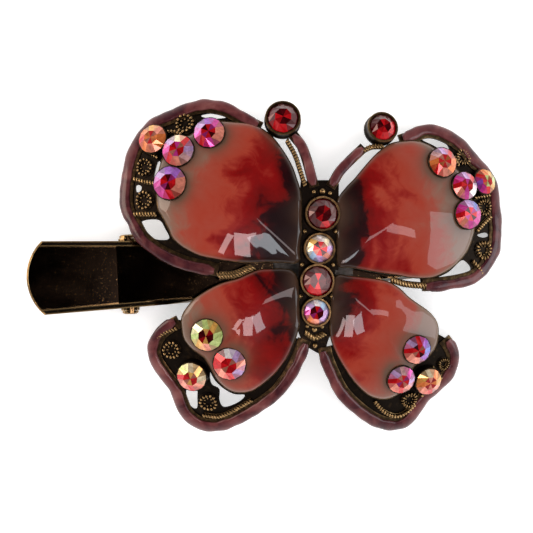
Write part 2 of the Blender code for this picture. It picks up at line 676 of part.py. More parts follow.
def crystal_seats():
    for name, (x, y), radius, height in CRYSTALS:
        depth = height - GIRDLE_DEPTH - PAVILION_RATIO * radius - FLOOR_FIT
        puck("seat_" + name, dome_frame(x, y), radius + FIT, depth, height + 2.0, STONE_SIDES, SEATS)


def build_casting():
    casting = domed_blank()
    boolean(casting, "INTERSECT", tool=casting_plan())
    raised_features()
    boolean(casting, "UNION", collection=RAISED)
    crystal_seats()
    boolean(casting, "DIFFERENCE", collection=SEATS)
    keep_main_body(casting)
    collapse_needless_edges(casting, 0.75)
    finish(casting, ANTIQUE_BRASS)


# ---- fills -----------------------------------------------------------------------------------------

def build_clearances():
    """The raised features again, a fit larger, for cutting the fills."""
    for name, (x, y), radius, _height in CRYSTALS:
        puck("clear_" + name, dome_frame(x, y), radius + CUP_WALL + FIT, -1.5, 6.0, 12, CUPS_CLEAR)
    for index, ((x, y), radius) in enumerate(ROSETTES):
        puck("clear_rosette_%d" % index, dome_frame(x, y), radius + FIT, -1.5, 6.0, 8, CUPS_CLEAR)
    for key, cell in CELLS.items():
        prism("clear_wall_" + key, offset_outline(cell["outline"], WALL + FIT), WALLS_CLEAR)
    for key, rim in RIMS.items():
        out, inwards = (RIM_OUT + FIT) * rim["outwards"], -(RIM_IN + FIT) * rim["outwards"]
        prism("clear_rim_" + key, ribbon_plan(rim["path"], out, inwards), STRIPS_CLEAR)
    for key, path in ANTENNAE.items():
        reach = ANTENNA_HALF + FIT
        prism("clear_antenna_" + key, ribbon_plan(path, reach, -reach), STRIPS_CLEAR)
    for index, (path, half, _rise) in enumerate(BARS):
        prism("clear_bar_%d" % index, ribbon_plan(path, half + FIT, -half - FIT), BARS_CLEAR)


def ribbon_plan(path, right, left):
    """Plan outline of a ribbon, a fit longer than its path at both ends."""
    longer = lengthened(path, FIT)
    return offset_path(longer, right) + offset_path(longer, left)[::-1]


def lengthened(path, extra):
    first = Vector(path[0]) + (Vector(path[0]) - Vector(path[1])).normalized() * extra
    last = Vector(path[-1]) + (Vector(path[-1]) - Vector(path[-2])).normalized() * extra
    return [tuple(first)] + list(path[1:-1]) + [tuple(last)]


def cut_clear(fill, collections):
    for collection in collections:
        boolean(fill, "DIFFERENCE", collection=collection)
    keep_main_body(fill)
    drop_needless_edges(fill)


def wing_enamel(key):
    cell = CELLS[key]
    outline, centre = cell["outline"], cell["centre"]
    rings = []
    for factor in (0.33, 0.66, 1.0):
        rings.append([on_dome(x, y, FLOOR_FIT) for x, y in scaled(outline, centre, factor)])
    for factor in (1.0, 0.90, 0.65, 0.3):
        rise = WALL_TOP - 0.05 + PUFF * (1.0 - factor ** 2) ** 0.75
        rings.append([on_dome(x, y, rise) for x, y in scaled(outline, centre, factor)])
    enamel = ring_loft("enamel_" + key, rings, PLAN)
    cut_clear(enamel, (CUPS_CLEAR, STRIPS_CLEAR, BARS_CLEAR))
    finish(enamel, RED_ENAMEL, smooth=True)


def strip_enamel(name, path, half):
    low = RIM_TOP + FIT
    edge = low + ENAMEL_EDGE
    section = [(-half, low), (half, low), (half, edge), (0.0, edge + ENAMEL_CROWN), (-half, edge)]
    fill = strip_loft(name, path, section)
    cut_clear(fill, (CUPS_CLEAR, WALLS_CLEAR, BARS_CLEAR))
    finish(fill, MAUVE_ENAMEL, smooth=True)


def build_fills():
    build_clearances()
    for key in CELLS:
        wing_enamel(key)
    for key, rim in RIMS.items():
        strip_enamel("enamel_rim_" + key, rim["path"], RIM_ENAMEL_HALF)
    for key, path in ANTENNAE.items():
        strip_enamel("enamel_antenna_" + key, path, ANTENNA_ENAMEL_HALF)


# ---- crystals --------------------------------------------------------------------------------------

def crystal(name, x, y, radius, height):
    """A pointed-back stone with a flat table, its girdle just below the lip of its cup."""
    frame = dome_frame(x, y) @ Matrix.Translation((0.0, 0.0, (height - GIRDLE_DEPTH) * MM))
    count = STONE_SIDES
    table_radius = radius * TABLE_RATIO
    verts = [(0.0, 0.0, -PAVILION_RATIO * radius)]
    for size, z, turn in ((radius, -0.12, 0.0), (radius, 0.0, 0.0), (table_radius, CROWN_RATIO * radius, 0.5)):
        for k in range(count):
            angle = 2 * math.pi * (k + turn) / count
            verts.append((size * math.cos(angle), size * math.sin(angle), z))
    low, high, table = 1, 1 + count, 1 + 2 * count
    faces = []
    for k in range(count):
        n = (k + 1) % count
        faces.append((0, low + n, low + k))
        faces.append((low + k, low + n, high + n, high + k))
        faces.append((high + k, high + n, table + k))
        faces.append((high + n, table + n, table + k))
    faces.append(tuple(range(table, table + count)))
    stone = object_from(name, verts, faces, frame)
    finish(stone, RED_CRYSTAL if name in PLAIN_RED_CRYSTALS else RAINBOW_CRYSTAL)


def build_crystals():
    for name, (x, y), radius, height in CRYSTALS:
        crystal(name, x, y, radius, height)


# ---- clip ------------------------------------------------------------------------------------------

def plate_height(x):
    """Top of the upper lever's flat at x."""
    return PLATE_TOP + max(0.0, PAD_START - x) * math.tan(PAD_BEND)


def upper_section(x, half, drop):
    top = plate_height(x)
    lean = 0.8 if drop < 0.9 else 0.5
    under = top - STRIP
    outer = [(half, top - drop), (half - lean, top), (lean - half, top), (-half, top - drop)]
    inner_lean = lean + (0.18 if drop < 0.9 else 0.32)
    foot = 0.32 if drop < 0.9 else STRIP
    foot_z = top - drop - (0.50 if drop < 0.9 else 0.0)
    inner = [(foot - half, foot_z), (inner_lean - half, under), (half - inner_lean, under), (half - foot, foot_z)]
    return [(x, y, z) for y, z in outer + inner]


def end_arc_outline():
    """Plan of the upper lever in its own frame: arc at the grip end, rounded beak."""
    sagitta = 2.5
    radius = (GRIP_HALF ** 2 + sagitta ** 2) / (2 * sagitta)
    centre_x = -GRIP_LENGTH + radius
    limit = math.asin(GRIP_HALF / radius)
    arc = []
    for k in range(13):
        angle = math.pi - limit + 2 * limit * k / 12
        arc.append((centre_x + radius * math.cos(angle), radius * math.sin(angle)))
    tip = [(BEAK_LENGTH - 2.4, -8.0), (BEAK_LENGTH - 0.7, -1.6), (BEAK_LENGTH, 0.0), (BEAK_LENGTH - 0.7, 1.6),
           (BEAK_LENGTH - 2.4, 8.0)]
    return arc + [(-12.0, -8.0)] + tip + [(-12.0, 8.0)]


def clip_prism(name, outline, low, high, collection):
    bottom = [(x, y, low) for x, y in outline]
    top = [(x, y, high) for x, y in outline]
    return ring_loft(name, [bottom, top], CLIP, collection)


def ear(name, inner, outer, low, high_flat, collection):
    """An ear plate seen from the side: a straight strip with a round end about the pin."""
    points = []
    for k in range(9):
        angle = math.pi * k / 8
        if high_flat > 0:
            points.append((EAR_HALF * math.cos(angle), -EAR_HALF * math.sin(angle)))
        else:
            points.append((EAR_HALF * math.cos(angle), EAR_HALF * math.sin(angle)))
    end = high_flat if high_flat > 0 else low
    points += [(-EAR_HALF, end), (EAR_HALF, end)]
    near = [(x, inner, z) for x, z in points]
    far = [(x, outer, z) for x, z in points]
    return ring_loft(name, [near, far], CLIP, collection)


def pin_hole(name, collection):
    frame = CLIP @ Matrix.Rotation(math.radians(90.0), 4, "X")
    return puck(name, frame, PIN_RADIUS + FIT, -8.0, 8.0, 16, collection)


def build_upper_lever():
    sections = [upper_section(*station) for station in UPPER_STATIONS]
    lever = ring_loft("upper_lever", sections, CLIP)
    ears = new_collection("upper_ears")
    for side, sign in (("near", -1.0), ("far", 1.0)):
        ear("upper_ear_" + side, sign * (EAR_OUT - STRIP), sign * EAR_OUT, 0.0, PLATE_TOP - 0.45, ears)
    outline = clip_prism("upper_plan", end_arc_outline(), -10.0, 10.0, CUTTERS)
    hole = pin_hole("upper_pin_hole", CUTTERS)
    finish(lever, BLACK_BRASS)
    boolean(lever, "INTERSECT", tool=outline)
    boolean(lever, "UNION", collection=ears)
    boolean(lever, "DIFFERENCE", tool=hole)
    drop_needless_edges(lever)


def lower_section(x, half, under, flange):
    wall = STRIP
    outer = [(half, under + flange), (half, under), (-half, under), (-half, under + flange)]
    inner = [(wall - half, under + flange), (wall - half, under + STRIP), (half - wall, under + STRIP),
             (half - wall, under + flange)]
    return [(x, y, z) for y, z in outer + inner]


def tooth_notches():
    """A row of V notches across both flanges of the lower beak."""
    notches = new_collection("tooth_notches")
    for k in range(TOOTH_COUNT):
        x = 22.0 + TOOTH_PITCH * k
        points = [(x - 0.65, 3.0), (x, 1.80), (x + 0.65, 3.0)]
        near = [(px, -6.0, pz) for px, pz in points]
        far = [(px, 6.0, pz) for px, pz in points]
        ring_loft("notch_%d" % k, [near, far], CLIP, notches)
    return notches


def build_lower_lever():
    sections = [lower_section(*station) for station in LOWER_STATIONS]
    lever = ring_loft("lower_lever", sections, CLIP)
    ears = new_collection("lower_ears")
    inner = EAR_OUT + FIT
    for side, sign in (("near", -1.0), ("far", 1.0)):
        ear("lower_ear_" + side, sign * inner, sign * (inner + STRIP), LOWER_BASE, 0.0, ears)
    reach, low = inner + STRIP - 0.02, LOWER_BASE - 0.05
    box("ear_bridge", (0.02 - EAR_HALF, -reach, low), (EAR_HALF - 0.02, reach, low + STRIP), CLIP, ears)
    hole = pin_hole("lower_pin_hole", CUTTERS)
    notches = tooth_notches()
    finish(lever, BLACK_BRASS)
    boolean(lever, "UNION", collection=ears)
    boolean(lever, "DIFFERENCE", tool=hole)
    boolean(lever, "DIFFERENCE", collection=notches)
    drop_needless_edges(lever)


def build_pin():
    reach = EAR_OUT + FIT + STRIP + FIT
    outer = reach + PIN_HEAD
    profile = [
        (0, outer), (PIN_HEAD_RADIUS * 0.75, outer), (PIN_HEAD_RADIUS, outer - 0.2), (PIN_HEAD_RADIUS, reach),
        (PIN_RADIUS, reach), (PIN_RADIUS, -reach), (PIN_HEAD_RADIUS, -reach), (PIN_HEAD_RADIUS, 0.2 - outer),
        (PIN_HEAD_RADIUS * 0.75, -outer), (0, -outer)]
    pin = turned("pivot_pin", profile, CLIP @ Matrix.Rotation(math.radians(90.0), 4, "X"), 16)
    finish(pin, BLACK_BRASS)


def spring_points():
    """Centre line of the wire: lower arm, coil about the pin, upper arm."""
    reach = -9.0
    (left, _w0, low, _f0), (right, _w1, high, _f1) = LOWER_STATIONS[2], LOWER_STATIONS[3]
    grip = high + (reach - right) * (high - low) / (right - left)
    lower_end = (reach, grip + STRIP + WIRE_RADIUS + 0.08)
    upper_end = (reach, plate_height(reach) - STRIP - WIRE_RADIUS - 0.08)
    half_width = 1.6
    steps = 12
    turns = 4.5
    points = [(lower_end[0], -half_width, lower_end[1])]
    count = round(steps * turns)
    for k in range(count + 1):
        angle = -math.pi / 2 + 2 * math.pi * turns * k / count
        y = -half_width + 2 * half_width * k / count
        points.append((COIL_RADIUS * math.cos(angle), y, COIL_RADIUS * math.sin(angle)))
    points.append((upper_end[0], half_width, upper_end[1]))
    return points


def build_spring():
    curve = bpy.data.curves.new("torsion_spring", "CURVE")
    curve.dimensions = "3D"
    curve.bevel_depth = WIRE_RADIUS * MM
    curve.bevel_resolution = 1
    curve.use_fill_caps = True
    spline = curve.splines.new("POLY")
    points = spring_points()
    spline.points.add(len(points) - 1)
    for target, point in zip(spline.points, points):
        target.co = (*(CLIP @ (Vector(point) * MM)), 1.0)
    source = bpy.data.objects.new("spring_curve", curve)
    bpy.context.scene.collection.objects.link(source)
    graph = bpy.context.evaluated_depsgraph_get()
    mesh = bpy.data.meshes.new_from_object(source.evaluated_get(graph))
    bpy.data.objects.remove(source, do_unlink=True)
    face_outwards(mesh, weld=1e-7)
    spring = bpy.data.objects.new("torsion_spring", mesh)
    PART.objects.link(spring)
    finish(spring, SPRING_STEEL, smooth=True)


def build_solder():
    x0, x1 = BOSS_X
    low, high = PLATE_TOP + FIT, PLATE_TOP + SOLDER - FIT
    solder = box("solder_layer", (x0 + 0.2, 0.2 - BOSS_HALF, low), (x1 - 0.2, BOSS_HALF - 0.2, high), CLIP)
    finish(solder, SOLDER_GREY)


def place_butterfly():
    """Moves the finished casting, fills and crystals from the plan frame into the world."""
    for obj in PART.objects:
        if obj.name.startswith(("butterfly_", "enamel_", "crystal_")):
            obj.data.transform(BUTTERFLY)


def hang_on_pivot():
    """Everything but the lower lever, pin and spring turns with the upper lever about the pin."""
    axis = bpy.data.objects.new("hinge_axis", None)
    axis.location = PIVOT
    axis.empty_display_size = 0.01
    PART.objects.link(axis)
    bpy.context.view_layer.update()
    for obj in PART.objects:
        if obj.type == "MESH" and obj.name not in ("lower_lever", "pivot_pin", "torsion_spring"):
            obj.parent = axis
            obj.matrix_parent_inverse = axis.matrix_world.inverted()


thin_design_curves()
build_casting()
build_fills()
build_crystals()
place_butterfly()
build_upper_lever()
build_lower_lever()
build_pin()
build_spring()
build_solder()
hang_on_pivot()
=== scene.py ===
import json
import math

import bmesh
import bpy
import numpy as np
from mathutils import Matrix, Vector, noise


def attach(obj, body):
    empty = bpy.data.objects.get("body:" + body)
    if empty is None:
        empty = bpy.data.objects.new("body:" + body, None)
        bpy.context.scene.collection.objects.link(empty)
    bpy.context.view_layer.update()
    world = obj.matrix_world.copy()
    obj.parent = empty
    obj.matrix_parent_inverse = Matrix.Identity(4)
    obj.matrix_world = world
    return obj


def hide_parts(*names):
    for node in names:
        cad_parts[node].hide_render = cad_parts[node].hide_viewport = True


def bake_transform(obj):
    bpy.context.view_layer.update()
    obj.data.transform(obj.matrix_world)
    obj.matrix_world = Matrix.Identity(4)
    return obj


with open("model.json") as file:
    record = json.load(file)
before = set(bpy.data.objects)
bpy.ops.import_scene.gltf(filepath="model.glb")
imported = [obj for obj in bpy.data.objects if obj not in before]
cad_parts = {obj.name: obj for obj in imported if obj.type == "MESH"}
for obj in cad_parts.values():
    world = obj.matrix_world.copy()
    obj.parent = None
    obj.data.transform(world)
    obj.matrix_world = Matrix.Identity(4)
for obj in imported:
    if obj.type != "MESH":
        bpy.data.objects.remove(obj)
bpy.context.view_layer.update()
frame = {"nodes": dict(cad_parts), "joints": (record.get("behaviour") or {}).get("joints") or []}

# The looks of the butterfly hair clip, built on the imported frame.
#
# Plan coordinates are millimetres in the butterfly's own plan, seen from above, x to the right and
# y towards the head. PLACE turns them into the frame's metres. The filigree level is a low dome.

MM = 0.001

# ---- sizes shared with the part ----
CLIP_YAW = math.radians(2.5)
REST_TILT = math.radians(5.0)
PLAN_SHIFT = (-0.28, 0.285)
PIVOT = Vector(frame["joints"][0]["pos_m"])
DOME_CENTRE = (7.5, 3.6)
DOME_TOP = 9.36
DOME_DROP = 2.06e-4
SHEET = 0.8
WALL_TOP = 0.50                       # cell walls above the filigree level
STONE_SEAT = 0.22                     # girdle below the lip of its cup
CUP_WALL = 0.35
GRIP_HALF = 5.75                      # half width of the upper lever's grip
GRIP_LENGTH = 15.8
GRIP_END_DEPTH = 2.5                  # depth of the grip's rounded end
PLATE_TOP = 3.20                      # upper lever above the pin
PAD_START = -1.8                      # the finger pad bends up from here
PAD_BEND = math.radians(3.0)
COIL_RADIUS = 1.20
WIRE_RADIUS = 0.28

# ---- looks ----
STEP = 0.30                           # spacing of points along curves
SHEET_GRID = 1.3                      # spacing of the cuts that let a flat sheet follow the dome
TABLE_GAP = 0.02                      # nothing dips nearer than this to the table
WALL_HALF = 0.20
RIM_OUT = 0.78                        # rim ribbon, outwards of its centre line
RIM_IN = 1.35                         # and inwards
RIM_TOP = 0.25
RIM_ENAMEL = (0.84, 0.46)             # half width and rise of the rim enamel
RIM_ENAMEL_SHIFT = 0.06               # it lies along the outer edge of the ribbon
ANTENNA_HALF = 0.80
ANTENNA_ENAMEL = (0.72, 0.44)
PUFF = 1.15                           # rise of the wing enamel from its edge to its middle
FILL_EDGE = 0.66                      # edge of the wing enamel above the filigree level
ENAMEL_OVERFLOW = 0.16                # the wing enamel hides the cell wall
WING_STONE_OVERHANG = 0.24            # the wings' stones hide the lips of their cups
TABLE_RATIO = 0.56                    # a stone's table, crown and back against its radius
CROWN_RATIO = 0.36
BACK_RATIO = 0.40
EDGE_HALF = 0.15                      # polished edge of the grip's rounded end
COIL_HALF = 1.6
COIL_TURNS = 4.5
ARM_REACH = -9.0
LOWER_ARM_END = -3.15                 # height of the spring arm's end against the lower grip
UPPER_ARM_END = 2.62                  # and against the upper grip
FLOOR_HALF = 1.5                      # metres
FLOOR_DROP = 0.0002
FLOOR_GLOW = 0.45
CAMERA_HEIGHT = 0.2384

CELLS = {
    "upper_left": dict(
        centre=(-5.0, 11.0),
        outline=[
            (-7.5, 22.5), (-5.0, 22.3), (-2.9, 22.1), (-1.6, 21.7), (-0.1, 20.8), (1.1, 19.7), (2.0, 18.5),
            (3.0, 17.0), (3.9, 15.3), (4.5, 13.6), (5.0, 12.0), (5.3, 9.6), (5.3, 7.4), (5.2, 4.8),
            (5.0, 2.6), (4.8, 0.75), (2.4, 0.75), (-0.1, 0.8), (-2.9, 0.7), (-6.1, 1.0), (-8.2, 1.35),
            (-10.3, 1.8), (-12.2, 2.7), (-13.4, 3.5), (-14.5, 4.6), (-15.1, 6.0), (-16.0, 7.7), (-16.7, 9.0),
            (-17.0, 11.5), (-16.9, 13.6), (-16.3, 16.2), (-15.8, 17.4), (-14.9, 18.9), (-13.4, 19.9),
            (-11.7, 20.4), (-10.5, 21.7), (-9.4, 22.5)],
    ),
    "upper_right": dict(
        centre=(21.5, 8.5),
        outline=[
            (19.5, 19.1), (22.2, 19.6), (23.6, 19.6), (25.1, 19.2), (26.5, 18.45), (27.7, 17.8), (28.8, 16.9),
            (29.6, 15.6), (30.6, 14.75), (31.6, 13.7), (32.1, 11.7), (32.6, 9.8), (32.9, 8.0), (32.8, 5.9),
            (32.3, 4.1), (31.5, 2.4), (30.5, 1.2), (29.2, 0.0), (27.5, -1.0), (25.9, -1.6), (24.0, -1.7),
            (22.4, -1.6), (20.3, -1.2), (17.9, -0.9), (15.2, -0.4), (12.9, 0.0), (11.2, 0.2), (11.0, 2.6),
            (11.0, 5.2), (11.0, 7.8), (11.1, 10.2), (12.5, 12.2), (13.75, 13.5), (15.0, 15.0), (16.2, 16.4),
            (17.5, 17.7)],
    ),
    "lower_left": dict(
        centre=(-3.5, -9.0),
        outline=[
            (-11.8, -5.9), (-10.6, -4.8), (-8.6, -3.5), (-6.6, -2.6), (-4.4, -2.0), (-2.4, -1.1),
            (-1.0, -0.6),
            (0.6, -0.5), (3.0, -0.5), (4.2, -1.0), (4.8, -2.4), (4.9, -5.0), (5.0, -7.0), (5.0, -8.6),
            (4.6, -10.4), (3.9, -12.3), (2.9, -14.3), (1.5, -16.2), (0.2, -17.5), (-1.2, -18.6),
            (-2.6, -19.4),
            (-4.4, -19.6), (-5.8, -19.2), (-7.0, -18.3), (-8.0, -17.0), (-9.2, -14.8), (-9.8, -14.0),
            (-11.4, -12.8), (-12.6, -11.4), (-13.0, -9.8), (-13.0, -7.8)],
    ),
    "lower_right": dict(
        centre=(18.0, -9.5),
        outline=[
            (10.8, -1.6), (12.8, -1.6), (15.7, -1.9), (18.6, -2.4), (20.6, -3.5), (22.0, -4.8), (23.5, -5.9),
            (25.1, -7.0), (26.3, -8.2), (26.9, -9.6), (26.85, -11.7), (26.3, -13.1), (25.3, -14.3),
            (24.3, -15.0), (23.3, -15.6), (22.75, -16.6), (22.6, -18.0), (21.6, -19.3), (20.2, -20.4),
            (18.8, -20.8), (17.5, -20.7), (16.1, -20.1), (14.7, -18.9), (13.4, -17.4), (12.2, -15.6),
            (11.2, -13.9), (10.4, -12.1), (10.0, -10.2), (10.0, -7.4), (10.2, -4.4)],
    ),
}

# Centre lines of the rim ribbons, outwards +1 where their right-hand side is the outer one, and a few
# points that close each filigree web inside its cell.
RIMS = {
    "upper_left": dict(
        path=[
            (-0.8, 21.7), (-2.6, 22.6), (-4.3, 23.6), (-6.5, 24.8), (-9.5, 25.3), (-12.5, 24.7),
            (-15.3, 23.6),
            (-17.6, 22.6), (-19.5, 20.7), (-21.0, 18.1), (-21.8, 14.9), (-22.2, 11.5), (-22.0, 9.0),
            (-20.9, 6.8), (-19.6, 4.5), (-17.6, 2.8), (-15.3, 1.45), (-12.8, 0.4), (-10.3, -0.2),
            (-7.5, -0.8)],
        outwards=1.0,
        closing=[(-6.5, 6.0), (-4.0, 16.0)],
    ),
    "upper_right": dict(
        path=[
            (20.8, 19.9), (23.0, 20.7), (24.4, 21.4), (26.1, 21.6), (28.1, 21.1), (30.2, 20.0), (31.8, 18.65),
            (33.1, 17.0), (34.5, 15.7), (35.75, 14.1), (36.4, 12.3), (36.6, 10.0), (36.8, 7.55), (36.8, 5.3),
            (36.5, 2.8), (35.65, 1.0), (34.4, -0.6), (32.7, -1.9), (30.6, -2.5), (28.1, -2.9), (26.1, -3.1),
            (24.4, -3.1)],
        outwards=-1.0,
        closing=[(22.0, 4.0), (21.0, 14.0)],
    ),
    "lower_left": dict(
        path=[
            (-13.7, -8.3), (-15.0, -9.0), (-16.5, -10.1), (-17.5, -11.6), (-17.9, -13.3), (-17.4, -15.1),
            (-16.3, -16.8), (-15.1, -18.4), (-14.2, -19.9), (-13.7, -21.4), (-13.1, -22.9), (-12.0, -24.2),
            (-10.3, -25.2), (-8.5, -25.4), (-6.6, -25.0), (-4.4, -24.0), (-2.2, -22.7), (-0.2, -21.3),
            (1.6, -19.8), (3.2, -17.8), (4.6, -15.4), (5.6, -13.1), (6.2, -11.4)],
        outwards=1.0,
        closing=[(2.0, -9.0), (-8.0, -9.0)],
    ),
    "lower_right": dict(
        path=[
            (8.7, -12.6), (9.2, -14.6), (10.1, -16.7), (11.1, -18.8), (12.3, -20.5), (13.9, -22.1),
            (15.9, -23.7), (18.0, -24.9), (20.3, -25.4), (22.1, -25.0), (23.4, -23.7), (24.5, -22.0),
            (25.7, -20.5), (27.2, -19.2), (28.7, -17.8), (29.7, -16.0), (29.9, -14.2), (29.3, -12.6),
            (28.3, -11.3)],
        outwards=1.0,
        closing=[(24.0, -9.0), (14.0, -9.0)],
    ),
}

ANTENNAE = {
    "left": [(4.0, 20.6), (4.8, 19.6), (5.5, 18.6), (6.3, 16.4), (6.9, 14.1), (7.4, 12.3)],
    "right": [(15.2, 18.6), (12.9, 16.4), (11.4, 14.8), (10.5, 13.3), (9.9, 12.3)],
}

BODY_PLATE = [
    (5.2, 12.2), (5.0, -0.2), (4.8, -9.0), (5.6, -11.6), (6.2, -12.4), (8.7, -13.6), (9.6, -11.4),
    (10.4, -9.0), (10.6, -1.0), (11.2, 0.2), (11.2, 11.2), (10.8, 13.2), (6.2, 13.2)]

# Rosettes: centre, radius.
ROSETTES = [
    ((-12.7, 22.3), 1.75), ((-19.0, 15.5), 1.55), ((-19.0, 10.3), 1.60),
    ((31.1, 17.3), 1.45), ((34.5, 9.4), 1.45), ((34.4, 2.6), 1.60),
    ((-14.8, -13.0), 1.60), ((-9.1, -21.3), 1.60),
    ((28.0, -15.4), 1.10), ((22.6, -21.1), 1.45),
]

# See-through openings in the filigree.
GAPS = [
    [(-10.3, 23.6), (-8.0, 23.95), (-5.9, 23.3), (-8.6, 23.05)],
    [(-17.0, 16.3), (-16.5, 16.0), (-17.0, 13.4), (-17.6, 13.5)],
    [(-20.4, 12.7), (-19.6, 12.6), (-19.6, 11.9), (-20.3, 11.6)],
    [(-19.6, 6.5), (-19.0, 7.2), (-16.7, 7.2), (-15.7, 5.8), (-15.1, 4.3), (-17.0, 4.2), (-18.3, 4.9)],
    [(24.4, 20.1), (26.3, 20.5), (28.0, 20.0), (29.0, 18.6), (27.8, 18.4), (26.4, 19.1)],
    [(26.2, -2.05), (28.6, -0.9), (30.7, 0.9), (31.6, 0.7), (32.4, -0.4), (31.4, -1.2), (29.6, -1.7),
     (27.6, -2.1)],
    [(33.4, 5.0), (34.9, 5.4), (35.4, 4.9), (34.4, 4.6)],
    [(-12.5, -19.1), (-11.0, -19.2), (-10.9, -20.6), (-11.0, -22.4), (-11.9, -22.2), (-12.6, -20.8)],
    [(-8.9, -16.4), (-8.0, -17.9), (-6.6, -19.2), (-5.0, -20.0), (-3.4, -20.1), (-4.0, -21.0),
     (-5.4, -21.8), (-6.8, -22.1), (-7.4, -21.0), (-7.4, -19.2), (-8.6, -18.4)],
]

# Crystals: name, plan position, stone radius, cup height above the filigree level.
CRYSTALS = [
    ("crystal_body_1", (8.5, 8.1), 2.35, 1.75),
    ("crystal_body_2", (8.05, 2.75), 2.10, 1.60),
    ("crystal_body_3", (7.7, -2.2), 2.30, 1.75),
    ("crystal_body_4", (7.55, -6.95), 1.95, 1.60),
    ("crystal_antenna_left", (2.5, 22.65), 2.40, 1.60),
    ("crystal_antenna_right", (17.8, 21.4), 2.10, 1.60),
    ("crystal_upper_left_1", (-17.4, 19.6), 2.05, 1.25),
    ("crystal_upper_left_2", (-13.35, 17.65), 2.25, 1.55),
    ("crystal_upper_left_3", (-8.65, 20.35), 2.15, 1.55),
    ("crystal_upper_left_4", (-14.6, 12.7), 2.35, 1.55),
    ("crystal_upper_right_1", (27.1, 16.1), 2.10, 1.55),
    ("crystal_upper_right_2", (30.6, 12.5), 1.95, 1.55),
    ("crystal_upper_right_3", (34.1, 13.3), 1.75, 1.25),
    ("crystal_upper_right_4", (31.1, 8.1), 2.05, 1.55),
    ("crystal_lower_left_1", (-9.0, -10.3), 2.25, 1.60),
    ("crystal_lower_left_2", (-5.6, -14.7), 2.30, 1.55),
    ("crystal_lower_left_3", (-11.4, -16.8), 2.10, 1.25),
    ("crystal_lower_right_1", (23.1, -12.7), 2.00, 1.55),
    ("crystal_lower_right_2", (20.7, -17.3), 2.00, 1.55),
    ("crystal_lower_right_3", (25.2, -17.8), 1.95, 1.25),
]

# Twisted wire laid in the filigree: centre lines and half width.
TWISTS = [
    ([(3.2, 19.4), (4.4, 17.2), (5.2, 14.8), (5.9, 12.6)], 0.45),
    ([(-7.3, -1.4), (-4.8, -1.2), (-2.2, -0.1)], 0.80),
    ([(19.4, -2.0), (21.6, -2.7), (24.8, -3.0)], 0.65),
    ([(6.1, -10.2), (7.4, -11.0), (8.9, -10.4)], 0.60),
    ([(15.1, 18.0), (16.4, 18.6), (18.0, 18.7)], 0.50),
    ([(-20.4, 8.1), (-17.2, 8.1)], 0.50),
    ([(-9.8, -23.4), (-6.9, -23.4), (-2.4, -20.9)], 0.40),
    ([(-20.5, 13.6), (-19.0, 13.2), (-17.5, 12.9)], 0.42),
    ([(35.5, 7.8), (34.4, 6.8), (33.3, 5.7)], 0.42),
    ([(17.1, -21.3), (18.1, -22.5), (19.4, -23.4), (20.8, -23.7), (22.2, -23.1), (23.4, -22.0)], 0.40),
    ([(-16.9, -11.0), (-15.6, -10.2), (-14.0, -9.6)], 0.38),
    ([(26.2, -15.9), (27.6, -17.6), (26.6, -18.9), (24.6, -20.4)], 0.36),
    ([(-16.2, 20.9), (-14.6, 21.0), (-13.3, 20.6)], 0.38),
    ([(28.6, 18.2), (29.6, 17.1), (30.2, 16.0)], 0.36),
    ([(33.0, 10.9), (35.3, 11.3)], 0.36),
    ([(-18.1, 17.6), (-17.0, 17.0)], 0.36),
    ([(32.6, 0.8), (33.7, -0.4), (34.0, -1.0)], 0.36),
]

# Colours, linear: the coated facets of the stones and their red hearts. Some are painted light: white, cream
# and the bright red on the dark stones stand for glints and highlights.
PALETTE_AND_GLINTS = {
    "cream": (0.86, 0.70, 0.46), "gold": (0.80, 0.42, 0.10), "sky": (0.42, 0.58, 0.80),
    "lilac": (0.55, 0.34, 0.62), "violet": (0.30, 0.08, 0.45), "magenta": (0.62, 0.04, 0.30),
    "salmon": (0.80, 0.26, 0.18), "orange": (0.78, 0.20, 0.05), "red": (0.62, 0.007, 0.012),
    "garnet": (0.075, 0.001, 0.003), "lime": (0.55, 0.66, 0.22), "blush": (0.66, 0.36, 0.36),
    "white": (0.90, 0.84, 0.84), "dusk": (0.11, 0.028, 0.024), "blue": (0.16, 0.20, 0.55),
}

# For each crystal_ stone, the colours of its crown facets from +X anticlockwise, then those of its table; the
# bright ones among them are painted glints and highlights.
STONE_COLOURS_AND_GLINTS = {
    "body_1": ("dusk garnet garnet dusk garnet garnet red garnet", "garnet red garnet garnet"),
    "body_2": ("lilac cream white gold cream sky lilac salmon", "red salmon red garnet"),
    "body_3": ("garnet garnet dusk garnet garnet red red garnet", "garnet garnet red garnet"),
    "body_4": ("lilac sky white lilac magenta orange salmon lilac", "garnet magenta red garnet"),
    "antenna_left": ("garnet dusk dusk garnet garnet red red garnet", "red red garnet garnet"),
    "antenna_right": ("red dusk dusk garnet garnet red red red", "garnet red red garnet"),
    "upper_left_1": ("orange salmon gold orange red orange salmon orange", "orange salmon red orange"),
    "upper_left_2": ("lilac red cream lilac magenta red salmon blush", "red salmon magenta red"),
    "upper_left_3": ("salmon magenta violet lilac magenta red magenta salmon", "red magenta red garnet"),
    "upper_left_4": ("salmon violet violet lilac magenta magenta red salmon", "red magenta garnet red"),
    "upper_right_1": ("orange red lilac blush orange red salmon orange", "red orange red salmon"),
    "upper_right_2": ("white red lilac magenta red salmon magenta white", "red red magenta red"),
    "upper_right_3": ("lime gold orange red violet magenta red gold", "red orange lime red"),
    "upper_right_4": ("magenta blue lilac magenta red salmon magenta magenta", "red magenta red garnet"),
    "lower_left_1": ("lime gold lime cream lime gold salmon lime", "garnet red gold garnet"),
    "lower_left_2": ("salmon lilac white red red salmon red lilac", "red salmon red red"),
    "lower_left_3": ("cream gold cream lime red salmon red salmon", "red salmon gold red"),
    "lower_right_1": ("blue violet red lilac red salmon salmon violet", "red salmon red garnet"),
    "lower_right_2": ("lilac magenta blush lilac red salmon red salmon", "red magenta red salmon"),
    "lower_right_3": ("gold orange cream gold orange salmon red salmon", "orange red salmon red"),
}
PLAIN_STONES = ("crystal_body_1", "crystal_body_3", "crystal_antenna_left", "crystal_antenna_right")


